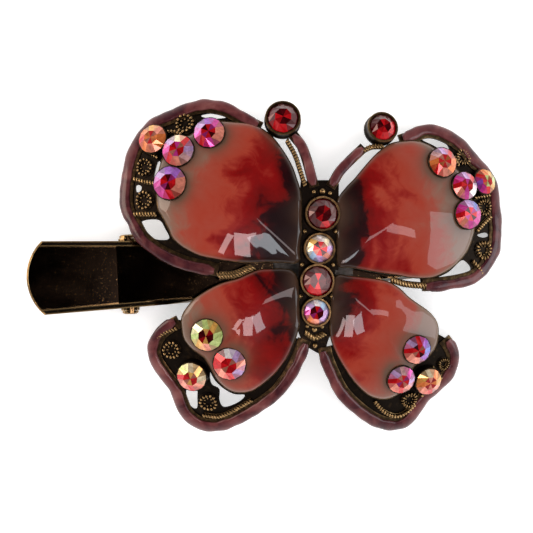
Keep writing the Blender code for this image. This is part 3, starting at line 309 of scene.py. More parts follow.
# ---- frames ----

PLACE = Matrix.Translation(Vector((*PLAN_SHIFT, 0.0)) * MM) @ Matrix.Rotation(-CLIP_YAW, 4, "Z")
PLACE_TURN = np.array(PLACE.to_3x3())
PLACE_SHIFT = np.array(PLACE.translation)
CLIP = Matrix.Translation(PIVOT) @ Matrix.Rotation(REST_TILT, 4, "Y")


def dome(points):
    """Height of the filigree level over plan points."""
    points = np.asarray(points, float)
    across = points[..., 0] - DOME_CENTRE[0]
    reach = np.hypot(across, points[..., 1] - DOME_CENTRE[1])
    return DOME_TOP - DOME_DROP * reach ** 3 - across * math.tan(REST_TILT)


def on_dome(points, height):
    """Plan points lifted to a height above the filigree level."""
    points = np.asarray(points, float)
    level = np.maximum(dome(points) + height, TABLE_GAP)
    return np.dstack([points[..., 0], points[..., 1], level])[0]


def dome_axes(x, y):
    """Rows: the two tangents and the normal of the dome at a plan point."""
    d = 0.01
    slope_x = float(dome((x + d, y)) - dome((x - d, y))) / (2 * d)
    slope_y = float(dome((x, y + d)) - dome((x, y - d))) / (2 * d)
    normal = Vector((-slope_x, -slope_y, 1.0)).normalized()
    right = Vector((1.0, 0.0, slope_x)).normalized()
    return np.array([right, normal.cross(right), normal])


def local_to_plan(points, x, y, turn=0.0):
    """Points in a frame standing on the dome, turned about its normal, in plan coordinates."""
    c, s = math.cos(turn), math.sin(turn)
    spun = np.asarray(points, float) @ np.array([(c, s, 0.0), (-s, c, 0.0), (0.0, 0.0, 1.0)])
    return spun @ dome_axes(x, y) + np.array([x, y, float(dome((x, y)))])


# ---- curves ----

def smooth_curve(points, closed=False, step=STEP):
    """A Catmull-Rom curve through given points, cut into even steps."""
    points = np.array(points, float)
    if closed:
        points = np.vstack([points[-1], points, points[:2]])
    else:
        points = np.vstack([2 * points[0] - points[1], points, 2 * points[-1] - points[-2]])
    t = np.linspace(0, 1, 12, endpoint=False)[:, None]
    dense = []
    for a, b, c, d in zip(points, points[1:], points[2:], points[3:]):
        bend = 2 * b + (c - a) * t + (2 * a - 5 * b + 4 * c - d) * t ** 2 + (3 * b - a - 3 * c + d) * t ** 3
        dense.append(bend / 2)
    dense = np.vstack(dense + ([] if closed else [points[-2][None]]))
    if closed:
        dense = np.vstack([dense, dense[:1]])
    along = np.concatenate([[0], np.cumsum(np.hypot(*np.diff(dense, axis=0).T))])
    count = max(3, round(along[-1] / step))
    marks = np.linspace(0, along[-1], count + 1)
    if closed:
        marks = marks[:-1]
    return np.column_stack([np.interp(marks, along, dense[:, k]) for k in (0, 1)])


def normals_of(path, closed=False):
    """Unit normals to the left of a plan path."""
    if closed:
        run = np.roll(path, -1, 0) - np.roll(path, 1, 0)
    else:
        run = np.gradient(path, axis=0)
    run /= np.linalg.norm(run, axis=1)[:, None]
    return np.column_stack([-run[:, 1], run[:, 0]])


# ---- meshes ----

class Shape:
    """Collects closed bodies in plan coordinates, with the wear of each point."""

    def __init__(self):
        self.points = []
        self.faces = []
        self.wear = []
        self.count = 0

    def add(self, points, faces, wear):
        points = np.asarray(points, float)
        self.points.append(points)
        self.faces += [[i + self.count for i in face] for face in faces]
        self.wear.append(np.broadcast_to(np.asarray(wear, float), len(points)))
        self.count += len(points)

    def piece(self, name, look, slot, smooth=30.0):
        return make_piece(name, np.vstack(self.points), self.faces, look, slot, smooth,
                          wear=np.concatenate(self.wear))


def link(obj):
    """Puts an object in the scene."""
    bpy.context.scene.collection.objects.link(obj)


def new_object(name, points, faces, look, slot, smooth, **values):
    """An object from points in metres, with float values stored on them."""
    mesh = bpy.data.meshes.new(name)
    mesh.from_pydata(points, [], faces)
    for key, value in values.items():
        mesh.attributes.new(key, "FLOAT", "POINT").data.foreach_set("value", np.asarray(value, np.float32))
    tidy_mesh(mesh)
    mesh.materials.append(look)
    if smooth:
        mesh.shade_smooth()
        mesh.set_sharp_from_angle(angle=math.radians(smooth))
    obj = bpy.data.objects.new(name, mesh)
    link(obj)
    return obj


def make_piece(name, points, faces, look, slot, smooth=30.0, **values):
    """A piece of the butterfly, from points in plan coordinates."""
    world = (points * MM @ PLACE_TURN.T + PLACE_SHIFT).tolist()
    obj = new_object(name, world, faces, look, slot, smooth, **values)
    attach(obj, "upper_body")
    return obj


def clip_piece(name, rings, look, slot, smooth, wear=0.0):
    """A piece of the clip, lofted from rings of points in the clip's own frame."""
    points, faces = lofted(rings)
    world = [CLIP @ (Vector(p) * MM) for p in points]
    return new_object(name, world, faces, look, slot, smooth, wear=np.full(len(points), wear))


def tidy_mesh(mesh):
    """Turns every face of a closed mesh outwards."""
    work = bmesh.new()
    work.from_mesh(mesh)
    bmesh.ops.recalc_face_normals(work, faces=work.faces)
    work.to_mesh(mesh)
    work.free()
    mesh.update()


def lofted(rings, closed_run=False):
    """Faces between rings of points, capped at the ends unless the run closes on itself."""
    runs, size = len(rings), len(rings[0])
    faces = []
    for i in range(runs if closed_run else runs - 1):
        a, b = i * size, (i + 1) % runs * size
        for j in range(size):
            k = (j + 1) % size
            faces.append((a + j, a + k, b + k, b + j))
    if not closed_run:
        faces.append(tuple(range(size)))
        faces.append(tuple((runs - 1) * size + j for j in reversed(range(size))))
    return np.concatenate(rings), faces


def strip(shape, path, section, closed=False, scale=None):
    """Sweeps a section of (offset, height, wear) along a plan path over the dome."""
    sides = normals_of(path, closed)
    scale = np.ones(len(path)) if scale is None else scale
    rings = []
    for point, side, width in zip(path, sides, scale):
        rings.append([point + side * offset * width for offset, _, _ in section])
    heights = np.array([height for _, height, _ in section])
    rings = [on_dome(ring, heights) for ring in rings]
    points, faces = lofted(rings, closed)
    shape.add(points, faces, np.tile([wear for _, _, wear in section], len(path)))


def rounded_section(left, right, low, high, bevel=0.12, worn=1.0):
    """A strip section from offset left to right; its rounded upper edges are worn the brightest."""
    section = [
        (left, low, 0.15), (left, high - bevel, 0.5), (left + bevel * 0.3, high - bevel * 0.3, 1.0),
        (left + bevel, high, 0.75), (right - bevel, high, 0.75),
        (right - bevel * 0.3, high - bevel * 0.3, 1.0), (right, high - bevel, 0.5), (right, low, 0.15)]
    return [(offset, height, wear * worn) for offset, height, wear in section]


def crowned_section(half, low, edge, rise, count=9):
    """A soft strip section: short sides and an arched top."""
    section = [(-half * 0.92, low, 0.0)]
    for k in range(count):
        angle = math.pi * k / (count - 1)
        section.append((-half * math.cos(angle), edge + rise * math.sin(angle) ** 0.8, 1.0))
    return section + [(half * 0.92, low, 0.0)]


def turned(shape, x, y, profile, steps=40):
    """A profile of (radius, height, wear) turned about the dome's normal; it starts and ends on the axis."""
    angles = np.arange(steps) * 2 * math.pi / steps
    circle = np.column_stack([np.cos(angles), np.sin(angles)])
    rings = []
    for radius, height, _ in profile:
        rings.append(np.column_stack([max(radius, 0.01) * circle, np.full(steps, height)]))
    points, faces = lofted([local_to_plan(ring, x, y) for ring in rings])
    shape.add(points, faces, np.repeat([wear for _, _, wear in profile], steps))


def ball_template(rows=7, columns=12):
    """Points and faces of a unit ball."""
    points = [(0.0, 0.0, 1.0)]
    for row in range(1, rows):
        tilt = math.pi * row / rows
        for column in range(columns):
            turn = 2 * math.pi * column / columns
            points.append((math.sin(tilt) * math.cos(turn), math.sin(tilt) * math.sin(turn), math.cos(tilt)))
    points.append((0.0, 0.0, -1.0))
    faces = [(0, 1 + (c + 1) % columns, 1 + c) for c in range(columns)]
    for row in range(rows - 2):
        a, b = 1 + row * columns, 1 + (row + 1) * columns
        faces += [(a + c, a + (c + 1) % columns, b + (c + 1) % columns, b + c) for c in range(columns)]
    last, start = len(points) - 1, 1 + (rows - 2) * columns
    faces += [(last, start + c, start + (c + 1) % columns) for c in range(columns)]
    return np.array(points), faces


BALL = ball_template()


def bead(shape, x, y, size, height, turn=0.0):
    """An ellipsoid bead of half sizes (along, across, up), worn bright on top."""
    points, faces = BALL
    body = points * np.array(size) + np.array([0.0, 0.0, height])
    shape.add(local_to_plan(body, x, y, turn), faces, np.clip(points[:, 2] * 1.1, 0, 1))


def filled_plan(loops):
    """A flat mesh that fills the first loop, less the others."""
    curve = bpy.data.curves.new("sheet", "CURVE")
    curve.dimensions = "2D"
    curve.fill_mode = "BOTH"
    for loop in loops:
        spline = curve.splines.new("POLY")
        spline.points.add(len(loop) - 1)
        spline.use_cyclic_u = True
        for target, (x, y) in zip(spline.points, loop):
            target.co = (x, y, 0.0, 1.0)
    source = bpy.data.objects.new("sheet", curve)
    link(source)
    bpy.context.view_layer.update()
    flat = bpy.data.meshes.new_from_object(source.evaluated_get(bpy.context.evaluated_depsgraph_get()))
    bpy.data.objects.remove(source, do_unlink=True)
    return flat


def plan_sheet(shape, outline, holes, top, bottom):
    """A sheet cut to an outline with holes, laid over the dome."""
    work = bmesh.new()
    work.from_mesh(filled_plan([outline] + holes))
    bmesh.ops.remove_doubles(work, verts=work.verts, dist=0.002)
    low, high = np.min(outline, 0), np.max(outline, 0)
    for axis, normal in enumerate([(1.0, 0.0, 0.0), (0.0, 1.0, 0.0)]):
        for mark in np.arange(low[axis] + SHEET_GRID, high[axis], SHEET_GRID):
            cut = tuple(mark * n for n in normal)
            everything = work.verts[:] + work.edges[:] + work.faces[:]
            bmesh.ops.bisect_plane(work, geom=everything, plane_co=cut, plane_no=normal, dist=0.0005)
    work.verts.ensure_lookup_table()
    work.verts.index_update()
    plan = np.array([v.co[:2] for v in work.verts])
    faces = [[v.index for v in face.verts] for face in work.faces]
    rim = [[v.index for v in edge.verts] for edge in work.edges if len(edge.link_faces) == 1]
    work.free()
    count = len(plan)
    sides = [(a, b, b + count, a + count) for a, b in rim]
    under = [[i + count for i in reversed(face)] for face in faces]
    points = np.vstack([on_dome(plan, top), on_dome(plan, bottom)])
    shape.add(points, faces + under + sides, np.concatenate([np.full(count, 0.12), np.full(count, 0.05)]))


# ---- materials ----

class Look:
    """A node material: a Principled shader and the nodes that feed it."""

    def __init__(self, name, **sockets):
        self.material = bpy.data.materials.new(name)
        self.material.use_nodes = True
        self.nodes = self.material.node_tree.nodes
        self.links = self.material.node_tree.links
        self.shader = self.nodes["Principled BSDF"]
        for socket, value in sockets.items():
            self.shader.inputs[socket.replace("_", " ")].default_value = value
        self.place = self.nodes.new("ShaderNodeTexCoord").outputs["Object"]

    def value(self, name, output="Fac"):
        """A value or colour stored on the mesh."""
        node = self.nodes.new("ShaderNodeAttribute")
        node.attribute_name = name
        return node.outputs[output]

    def noise(self, scale, detail=3.0, roughness=0.55, distortion=0.0):
        node = self.nodes.new("ShaderNodeTexNoise")
        node.inputs["Scale"].default_value = scale
        node.inputs["Detail"].default_value = detail
        node.inputs["Roughness"].default_value = roughness
        node.inputs["Distortion"].default_value = distortion
        self.links.new(self.place, node.inputs["Vector"])
        return node.outputs["Fac"]

    def math(self, operation, a, b, clamp=False):
        node = self.nodes.new("ShaderNodeMath")
        node.operation = operation
        node.use_clamp = clamp
        for socket, item in zip(node.inputs, (a, b)):
            if isinstance(item, (int, float)):
                socket.default_value = item
            else:
                self.links.new(item, socket)
        return node.outputs[0]

    def ramp(self, source, stops):
        node = self.nodes.new("ShaderNodeValToRGB")
        band = node.color_ramp
        while len(band.elements) < len(stops):
            band.elements.new(0.5)
        for element, (position, colour) in zip(band.elements, stops):
            element.position = position
            element.color = (*colour, 1.0)
        self.links.new(source, node.inputs["Fac"])
        return node.outputs["Color"]

    def grey(self, source, *stops):
        """A ramp of plain values."""
        return self.ramp(source, [(position, (value,) * 3) for position, value in stops])

    def mix(self, share, a, b):
        node = self.nodes.new("ShaderNodeMix")
        node.data_type = "RGBA"
        for socket, item in ((node.inputs[0], share), (node.inputs[6], a), (node.inputs[7], b)):
            if isinstance(item, tuple):
                socket.default_value = (*item, 1.0)
            else:
                self.links.new(item, socket)
        return node.outputs[2]

    def feed(self, socket, source):
        self.links.new(source, self.shader.inputs[socket])

    def bump(self, height, strength, distance):
        node = self.nodes.new("ShaderNodeBump")
        node.inputs["Strength"].default_value = strength
        node.inputs["Distance"].default_value = distance
        self.links.new(height, node.inputs["Height"])
        self.links.new(node.outputs["Normal"], self.shader.inputs["Normal"])


def antique_metal():
    """Blackened brass with the gold rubbed through on whatever stands up."""
    look = Look("antique_brass", Metallic=0.95)
    rubbed = look.math("ADD", look.value("wear"), look.math("MULTIPLY", look.noise(1400, 4.0), 0.9))
    rubbed = look.math("SUBTRACT", rubbed, 0.62, clamp=True)
    colour = look.ramp(rubbed, [
        (0.0, (0.016, 0.011, 0.008)), (0.30, (0.07, 0.042, 0.020)), (0.62, (0.28, 0.165, 0.070)),
        (1.0, (0.72, 0.46, 0.20))])
    look.feed("Base Color", colour)
    look.feed("Roughness", look.grey(rubbed, (0.0, 0.46), (1.0, 0.22)))
    look.bump(look.noise(2600, 2.0), 0.25, 0.00005)
    return look.material


def black_plate():
    """Black plated brass sheet: near-black mirror, warm at its edges, with fine specks."""
    look = Look("black_brass", Metallic=1.0, Specular_IOR_Level=0.2)
    corner = look.nodes.new("ShaderNodeBevel")
    corner.inputs["Radius"].default_value = 0.00045
    plain = look.nodes.new("ShaderNodeNewGeometry")
    dot = look.nodes.new("ShaderNodeVectorMath")
    dot.operation = "DOT_PRODUCT"
    look.links.new(corner.outputs["Normal"], dot.inputs[0])
    look.links.new(plain.outputs["Normal"], dot.inputs[1])
    edge = look.math("MULTIPLY", look.math("SUBTRACT", 1.0, dot.outputs["Value"]), 16.0, clamp=True)
    specks = look.math("SUBTRACT", look.noise(5200, 1.0), 0.68, clamp=True)
    specks = look.math("MULTIPLY", specks, 6.0, clamp=True)
    clouds = look.noise(160, 4.0, distortion=0.8)
    ground = look.ramp(clouds, [(0.3, (0.006, 0.004, 0.003)), (0.7, (0.016, 0.010, 0.006))])
    worn = look.math("MAXIMUM", edge, look.math("MULTIPLY", specks, 0.8))
    look.feed("Base Color", look.mix(worn, ground, (0.62, 0.40, 0.18)))
    look.feed("Roughness", look.grey(clouds, (0.3, 0.08), (0.75, 0.17)))
    look.bump(look.noise(900, 3.0), 0.06, 0.00005)
    return look.material


def wing_enamel_look():
    """Poured enamel, marbled from black-red by the body to brick and then taupe at the wing's edge, with a
    painted reflection in tan along its outline.
    """
    look = Look("red_enamel", Specular_IOR_Level=0.15, Coat_Weight=1.0, Coat_Roughness=0.02)
    swirl = look.math("SUBTRACT", look.noise(95, 2.0, 0.5, 1.6), 0.5)
    curl = look.math("SUBTRACT", look.noise(300, 3.0, 0.55, 3.2), 0.5)
    place = look.math("ADD", look.value("zone"), look.math("MULTIPLY", swirl, 0.75))
    place = look.math("ADD", place, look.math("MULTIPLY", curl, 0.20))
    colour = look.ramp(place, [
        (0.13, (0.006, 0.000, 0.001)), (0.23, (0.018, 0.000, 0.001)), (0.29, (0.110, 0.000, 0.000)),
        (0.44, (0.185, 0.000, 0.000)), (0.53, (0.245, 0.014, 0.008)), (0.60, (0.305, 0.034, 0.017)),
        (0.80, (0.300, 0.050, 0.030)), (0.96, (0.230, 0.105, 0.072)), (1.00, (0.215, 0.125, 0.090))])
    veil = look.math("MULTIPLY", look.value("halo"), look.math("ADD", look.noise(260, 2.0), 0.35), clamp=True)
    colour = look.mix(veil, colour, (0.110, 0.058, 0.036))
    # Painted reflection: a tan band along the pour's outline, strongest on the wing's outer side, stands for
    # the warm light that the rolled edge reflects.
    look.feed("Base Color", look.mix(look.value("edge"), colour, (0.150, 0.095, 0.058)))
    look.feed("Roughness", look.grey(look.noise(240, 3.0), (0.3, 0.30), (0.7, 0.42)))
    look.bump(look.noise(135, 2.0, 0.4, 0.8), 0.65, 0.00050)
    return look.material


def rim_enamel_look():
    """Brushed-on mauve enamel with plum patches and pale streaks."""
    look = Look("mauve_enamel", Specular_IOR_Level=0.2, Coat_Weight=0.5, Coat_Roughness=0.08)
    grain = look.math("MULTIPLY", look.noise(1100, 2.0), 0.16)
    patch = look.math("ADD", look.noise(210, 3.0, 0.55, 0.6), grain)
    colour = look.ramp(patch, [
        (0.42, (0.040, 0.008, 0.012)), (0.54, (0.082, 0.018, 0.020)), (0.66, (0.135, 0.035, 0.035)),
        (0.80, (0.200, 0.072, 0.066))])
    look.feed("Base Color", colour)
    look.feed("Roughness", look.grey(patch, (0.4, 0.24), (0.8, 0.38)))
    look.bump(look.noise(620, 3.0), 0.5, 0.00014)
    return look.material


def stone_look(name, metal):
    """Foiled, coated crystal: each facet has its own colour under a hard gloss, with painted glints and
    highlights among them.
    """
    look = Look(name, Metallic=metal, Coat_Weight=0.55, Coat_Roughness=0.02, Coat_IOR=1.6)
    facet_colour_and_glint = look.value("facet_colour_and_glint", "Color")
    depth = look.grey(look.noise(1100, 2.0, 0.5, 1.5), (0.35, 0.72), (0.65, 1.12))
    node = look.nodes.new("ShaderNodeVectorMath")
    node.operation = "MULTIPLY"
    look.links.new(facet_colour_and_glint, node.inputs[0])
    look.links.new(depth, node.inputs[1])
    look.feed("Base Color", node.outputs["Vector"])
    look.feed("Roughness", look.grey(look.noise(700, 2.0), (0.3, 0.05), (0.7, 0.09)))
    return look.material


def wire_look():
    """Drawn spring wire with faint draw lines."""
    look = Look("spring_steel", Metallic=1.0)
    steel = [(0.3, (0.20, 0.18, 0.16)), (0.7, (0.42, 0.39, 0.34))]
    look.feed("Base Color", look.ramp(look.noise(2000, 3.0), steel))
    look.feed("Roughness", look.grey(look.noise(3000, 2.0), (0.3, 0.22), (0.7, 0.36)))
    return look.material


def solder_look():
    """Dull grey solder."""
    look = Look("solder", Metallic=0.9)
    greys = [(0.3, (0.16, 0.15, 0.14)), (0.7, (0.38, 0.36, 0.33))]
    look.feed("Base Color", look.ramp(look.noise(900, 4.0), greys))
    look.feed("Roughness", look.grey(look.noise(1500, 3.0), (0.3, 0.38), (0.7, 0.60)))
    look.bump(look.noise(1200, 3.0), 0.4, 0.00008)
    return look.material


METAL = antique_metal()
PLATE = black_plate()
WING_ENAMEL = wing_enamel_look()
RIM_ENAMEL_LOOK = rim_enamel_look()
RAINBOW = stone_look("rainbow_crystal", 0.45)
SIAM = stone_look("red_crystal", 0.35)
WIRE = wire_look()
SOLDER = solder_look()


# ---- casting ----

def wing_sheet(shape, key):
    """The filigree level of a wing, cut through at its gaps."""
    rim = RIMS[key]
    outline = [tuple(p) for p in smooth_curve(rim["path"], step=0.5)] + list(reversed(rim["closing"]))
    low, high = np.min(outline, 0), np.max(outline, 0)
    holes = []
    for gap in GAPS:
        middle = np.mean(gap, 0)
        if (middle > low).all() and (middle < high).all() and owner_of(middle) == key:
            holes.append([tuple(p) for p in smooth_curve(gap, closed=True, step=0.35)])
    plan_sheet(shape, outline, holes, 0.0, -SHEET)


def owner_of(point):
    """The wing whose cell centre is nearest."""
    return min(CELLS, key=lambda key: math.dist(point, CELLS[key]["centre"]))


def rim_band(shape, key):
    """The metal ribbon under a rim's enamel."""
    rim = RIMS[key]
    path = smooth_curve(rim["path"])
    outer, inner = -RIM_OUT * rim["outwards"], RIM_IN * rim["outwards"]
    left, right = min(outer, inner), max(outer, inner)
    strip(shape, path, rounded_section(left, right, -SHEET, RIM_TOP, 0.2, worn=0.62))


def build_casting():
    """The metal under the enamel: wing sheets, cell walls, rim ribbons, body plate and antennae."""
    shape = Shape()
    wall = rounded_section(-WALL_HALF, WALL_HALF, -0.3, WALL_TOP, 0.1, worn=0.55)
    ribbon = rounded_section(-ANTENNA_HALF, ANTENNA_HALF, -SHEET, 0.25, 0.15, worn=0.6)
    for key, cell in CELLS.items():
        wing_sheet(shape, key)
        rim_band(shape, key)
        outline = smooth_curve(cell["outline"], closed=True)
        strip(shape, outline, wall, closed=True)
        plan_sheet(shape, smooth_curve(cell["outline"], closed=True, step=0.5).tolist(), [], 0.05, -SHEET)
    plan_sheet(shape, smooth_curve(BODY_PLATE, closed=True, step=0.6).tolist(), [], 0.02, -SHEET)
    for path in ANTENNAE.values():
        strip(shape, smooth_curve(path), ribbon)
    frame_piece = shape.piece("cast_frame", METAL, "antique_brass")
    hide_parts("butterfly_casting")


def cup(shape, x, y, radius, height, worn):
    """A turned cup; worn is how bright its lip is rubbed."""
    outer = radius + CUP_WALL
    profile = [
        (0.0, -0.5, 0.0), (outer + 0.10, -0.5, 0.0), (outer + 0.12, 0.12, 0.35), (outer, 0.30, 0.2),
        (outer - 0.02, height - 0.22, 0.45), (outer + 0.02, height - 0.12, 0.8), (outer - 0.05, height, 1.0),
        (radius + 0.06, height - 0.01, 0.9), (radius - 0.02, height - STONE_SEAT - 0.02, 0.4),
        (radius * 0.8, height - 0.9, 0.0), (0.0, height - 0.95, 0.0)]
    turned(shape, x, y, [(r, z, wear * worn) for r, z, wear in profile], 48)


def ring_place(x, y, turn, reach):
    """The plan point at a reach from (x, y), measured along the dome."""
    step = np.array([reach * math.cos(turn), reach * math.sin(turn), 0.0])
    return np.array([x, y]) + (step @ dome_axes(x, y))[:2]


def rosette(shape, x, y, radius):
    """A ring of beads, or of wire loops on the right-hand wings, round a dark hollow."""
    turned(shape, x, y, [
        (0.0, -0.3, 0.0), (radius * 1.02, -0.3, 0.0), (radius * 1.02, 0.10, 0.2), (radius * 0.62, 0.20, 0.0),
        (radius * 0.40, -0.05, 0.0), (0.0, -0.10, 0.0)], 28)
    loops = x > DOME_CENTRE[0]
    count = 15 if loops else 13
    size = (radius * 0.25, radius * 0.12, 0.30) if loops else (radius * 0.175, radius * 0.155, 0.27)
    for k in range(count):
        turn = 2 * math.pi * (k + 0.5) / count
        reach = radius * (0.76 + 0.05 * math.sin(5.0 * k + x))
        bead(shape, *ring_place(x, y, turn, reach), size, 0.26, turn)
    for k in range(7):
        turn = 2 * math.pi * k / 7 + x
        bead(shape, *ring_place(x, y, turn, radius * 0.43), (radius * 0.12, radius * 0.09, 0.18), 0.08, turn)


def twisted_wire(shape, points, half):
    """Two wires twisted together: beads set slanting along the line."""
    path = smooth_curve(points, step=0.46)
    sides = normals_of(path)
    for point, side in zip(path, sides):
        turn = math.atan2(side[1], side[0]) + 0.55
        bead(shape, point[0], point[1], (half * 1.02, 0.24, 0.30), 0.30, turn)
    strip(shape, smooth_curve(points), rounded_section(-half * 0.8, half * 0.8, -0.3, 0.16, 0.1))


def build_settings():
    """What stands on the metal: stone cups, rosettes, twisted wires and the body's grains."""
    cups = Shape()
    for name, (x, y), radius, height in CRYSTALS:
        cup(cups, x, y, radius, height, 0.75 if in_body(name) else 0.35)
    cups.piece("stone_cups", METAL, "antique_brass", 40.0)
    flowers = Shape()
    for (x, y), radius in ROSETTES:
        rosette(flowers, x, y, radius)
    flowers.piece("rosettes", METAL, "antique_brass", 50.0)
    wires = Shape()
    for points, half in TWISTS:
        twisted_wire(wires, points, half)
    wires.piece("twisted_wires", METAL, "antique_brass", 50.0)
    grains = Shape()
    for x, y, size in grain_places():
        bead(grains, x, y, (size, size, size), size * 0.5)
    grains.piece("body_grains", METAL, "antique_brass", 50.0)


def in_body(name):
    """True for the stones of the body and the antennae, whose cups show as bright rings."""
    return name.startswith(("crystal_body", "crystal_antenna"))


def grain_places():
    """Small grains in the corners between the body's cups, at the head and at the tail."""
    places = []
    spots = [spot for name, spot, _, _ in CRYSTALS if name.startswith("crystal_body")]
    for (x0, y0), (x1, y1) in zip(spots, spots[1:]):
        for side in (-2.35, 2.35):
            places.append(((x0 + x1) / 2 + side, (y0 + y1) / 2, 0.42))
    places += [(8.6, 11.6, 0.55), (7.3, 11.5, 0.38), (9.8, 11.3, 0.38), (7.4, -9.7, 0.5), (6.3, -9.2, 0.36)]
    return places + [(8.6, -9.3, 0.36), (7.5, -12.2, 0.45)]


# ---- enamel ----

def zone_of(key, x, y):
    """0 beside the body to 1 at the wing's far edge."""
    if key == "upper_left":
        return (4.9 - x) / 19.5 + 0.012 * (y - 10.0)
    if key == "upper_right":
        return math.hypot(x - 9.2, 0.50 * (y - 3.0)) / 19.5 - 0.03
    if key == "lower_left":
        return 0.10 + (4.2 - x) / 17.5 + 0.008 * (-8.0 - y)
    return math.hypot(x - 8.6, 0.60 * (y + 3.0)) / 17.5


def halo_of(x, y):
    """How near a point is to a stone's cup: 1 at its lip, falling to 0."""
    value = 0.0
    for _, spot, radius, _ in CRYSTALS:
        gap = math.dist((x, y), spot) - radius - CUP_WALL
        value = max(value, math.exp(-max(gap, 0.0) / 1.1))
    return value


def build_wing_enamel(key):
    """A puffed pour of enamel, as rings that shrink towards the middle of its cell."""
    cell = CELLS[key]
    outline = smooth_curve(cell["outline"], closed=True, step=0.35)
    outline = outline + normals_of(outline, True) * outward_sign(outline) * ENAMEL_OVERFLOW
    centre = np.array(cell["centre"])
    rings = [on_dome(outline, np.full(len(outline), 0.08))]
    shares = [1.0, 0.992, 0.975, 0.95] + list(np.linspace(0.91, 0.03, 34))
    for share in shares:
        height = FILL_EDGE - 0.30 * max(0.0, (share - 0.95) / 0.05) ** 2 + PUFF * (1.0 - share ** 2.1)
        rings.append(on_dome(centre + share * (outline - centre), height))
    points, faces = lofted(rings)
    zone = [zone_of(key, x, y) for x, y, _ in points]
    halo = [halo_of(x, y) for x, y, _ in points]
    share_of = np.repeat([1.0] + shares, len(outline))
    # Painted reflection: how much of the tan band a point gets, near the outline and more on the side away
    # from the body.
    edge = np.clip((share_of - 0.90) / 0.10, 0, 1) ** 1.5 * np.clip(np.array(zone) * 1.3 - 0.1, 0.15, 0.85)
    obj = make_piece("enamel_" + key + "_pour", points, faces, WING_ENAMEL, "red_enamel", 60.0,
                     zone=zone, halo=halo, edge=edge)
    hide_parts("enamel_" + key)


def outward_sign(outline):
    """+1 where the left-hand normals of a closed outline point outwards."""
    x, y = outline[:, 0], outline[:, 1]
    turning = np.sum(x * np.roll(y, -1) - y * np.roll(x, -1))
    return -1.0 if turning > 0 else 1.0


def build_strip_enamel(name, path, half, rise, node, inset, shift=0.0):
    """A brushed enamel line whose width wanders."""
    path = smooth_curve(path)
    path = (path + normals_of(path) * shift)[inset:len(path) - inset]
    width = [1.0 + 0.22 * noise.noise(Vector((x * 0.55, y * 0.55, 3.0))) for x, y in path]
    ends = np.minimum(np.arange(len(path)), np.arange(len(path))[::-1])
    width = np.array(width) * np.clip(0.55 + ends * 0.15, 0.0, 1.0)
    shape = Shape()
    strip(shape, path, crowned_section(half, -0.12, 0.20, rise), scale=width)
    obj = shape.piece(name, RIM_ENAMEL_LOOK, "mauve_enamel", 70.0)
    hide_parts(node)


# ---- stones ----

def stone_points(girdle, table, crown, back, seat):
    """Top centre, 8 table corners, 16 points round the girdle's top and bottom, and the back's tip."""
    points = [(0.0, 0.0, seat + crown)]
    for k in range(8):
        a = math.pi * (k - 0.5) / 4
        points.append((table * math.cos(a), table * math.sin(a), seat + crown))
    for height in (seat, seat - 0.10):
        for k in range(16):
            a = math.pi * (k - 1.0) / 8 + (0.04 if k % 2 else -0.04)
            points.append((girdle * math.cos(a), girdle * math.sin(a), height))
    return points + [(0.0, 0.0, seat - back)]


def stone_facets(name):
    """The faces between those points: eight main crown facets, corner facets, table and back, with their
    colours, painted glints, highlights and facet shading among them.
    """
    corner, rim, under, tip = 1, 9, 25, 41
    faces, facet_colours_and_glints = [], []
    ring_names, table_names = (text.split() for text in STONE_COLOURS_AND_GLINTS[name.removeprefix("crystal_")])
    # Painted light and shade: a brightness factor for each facet round the stone, so that neighbouring facets
    # look lit and shaded.
    shade = (1.0, 0.62, 0.86, 0.5, 1.1, 0.7, 0.95, 0.55)
    for k in range(8):
        n = (k + 1) % 8
        main = PALETTE_AND_GLINTS[ring_names[k]]
        faces.append((corner + k, rim + (2 * k + 1) % 16, rim + (2 * k + 2) % 16, corner + n))
        facet_colours_and_glints.append(main)
        faces.append((corner + k, rim + 2 * k, rim + (2 * k + 1) % 16))
        facet_colours_and_glints.append(tuple(0.5 * (a + b) * shade[k] for a, b in zip(main, PALETTE_AND_GLINTS[ring_names[k - 1]])))
        faces.append((0, corner + k, corner + n))
        facet_colours_and_glints.append(tuple(c * shade[(3 * k) % 8] for c in PALETTE_AND_GLINTS[table_names[k % 4]]))
    for k in range(16):
        n = (k + 1) % 16
        faces += [(rim + k, under + k, under + n, rim + n), (tip, under + n, under + k)]
        facet_colours_and_glints += [PALETTE_AND_GLINTS["garnet"]] * 2
    return faces, facet_colours_and_glints


def build_stone(name, x, y, radius, height):
    """A foiled brilliant in its cup, each facet with its own colour, painted glints and highlights among
    them.
    """
    girdle = radius * 0.985 if in_body(name) else radius + WING_STONE_OVERHANG
    seat = height - STONE_SEAT if in_body(name) else height + 0.02
    points = stone_points(girdle, TABLE_RATIO * radius, CROWN_RATIO * radius, BACK_RATIO * radius, seat)
    faces, facet_colours_and_glints = stone_facets(name)
    plan = local_to_plan(points, x, y, 0.35 * noise.noise(Vector((x, y, 0.0))))
    look, slot = (SIAM, "red_crystal") if name in PLAIN_STONES else (RAINBOW, "rainbow_crystal")
    obj = make_piece(name + "_cut", plan, faces, look, slot, smooth=None)
    # Each facet's colour, painted glints and highlights included, is stored on the mesh.
    layer = obj.data.color_attributes.new("facet_colour_and_glint", "FLOAT_COLOR", "CORNER")
    for polygon, facet_colour_and_glint in zip(obj.data.polygons, facet_colours_and_glints):
        for loop in polygon.loop_indices:
            layer.data[loop].color = (*facet_colour_and_glint, 1.0)
    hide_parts(name)


# ---- clip ----

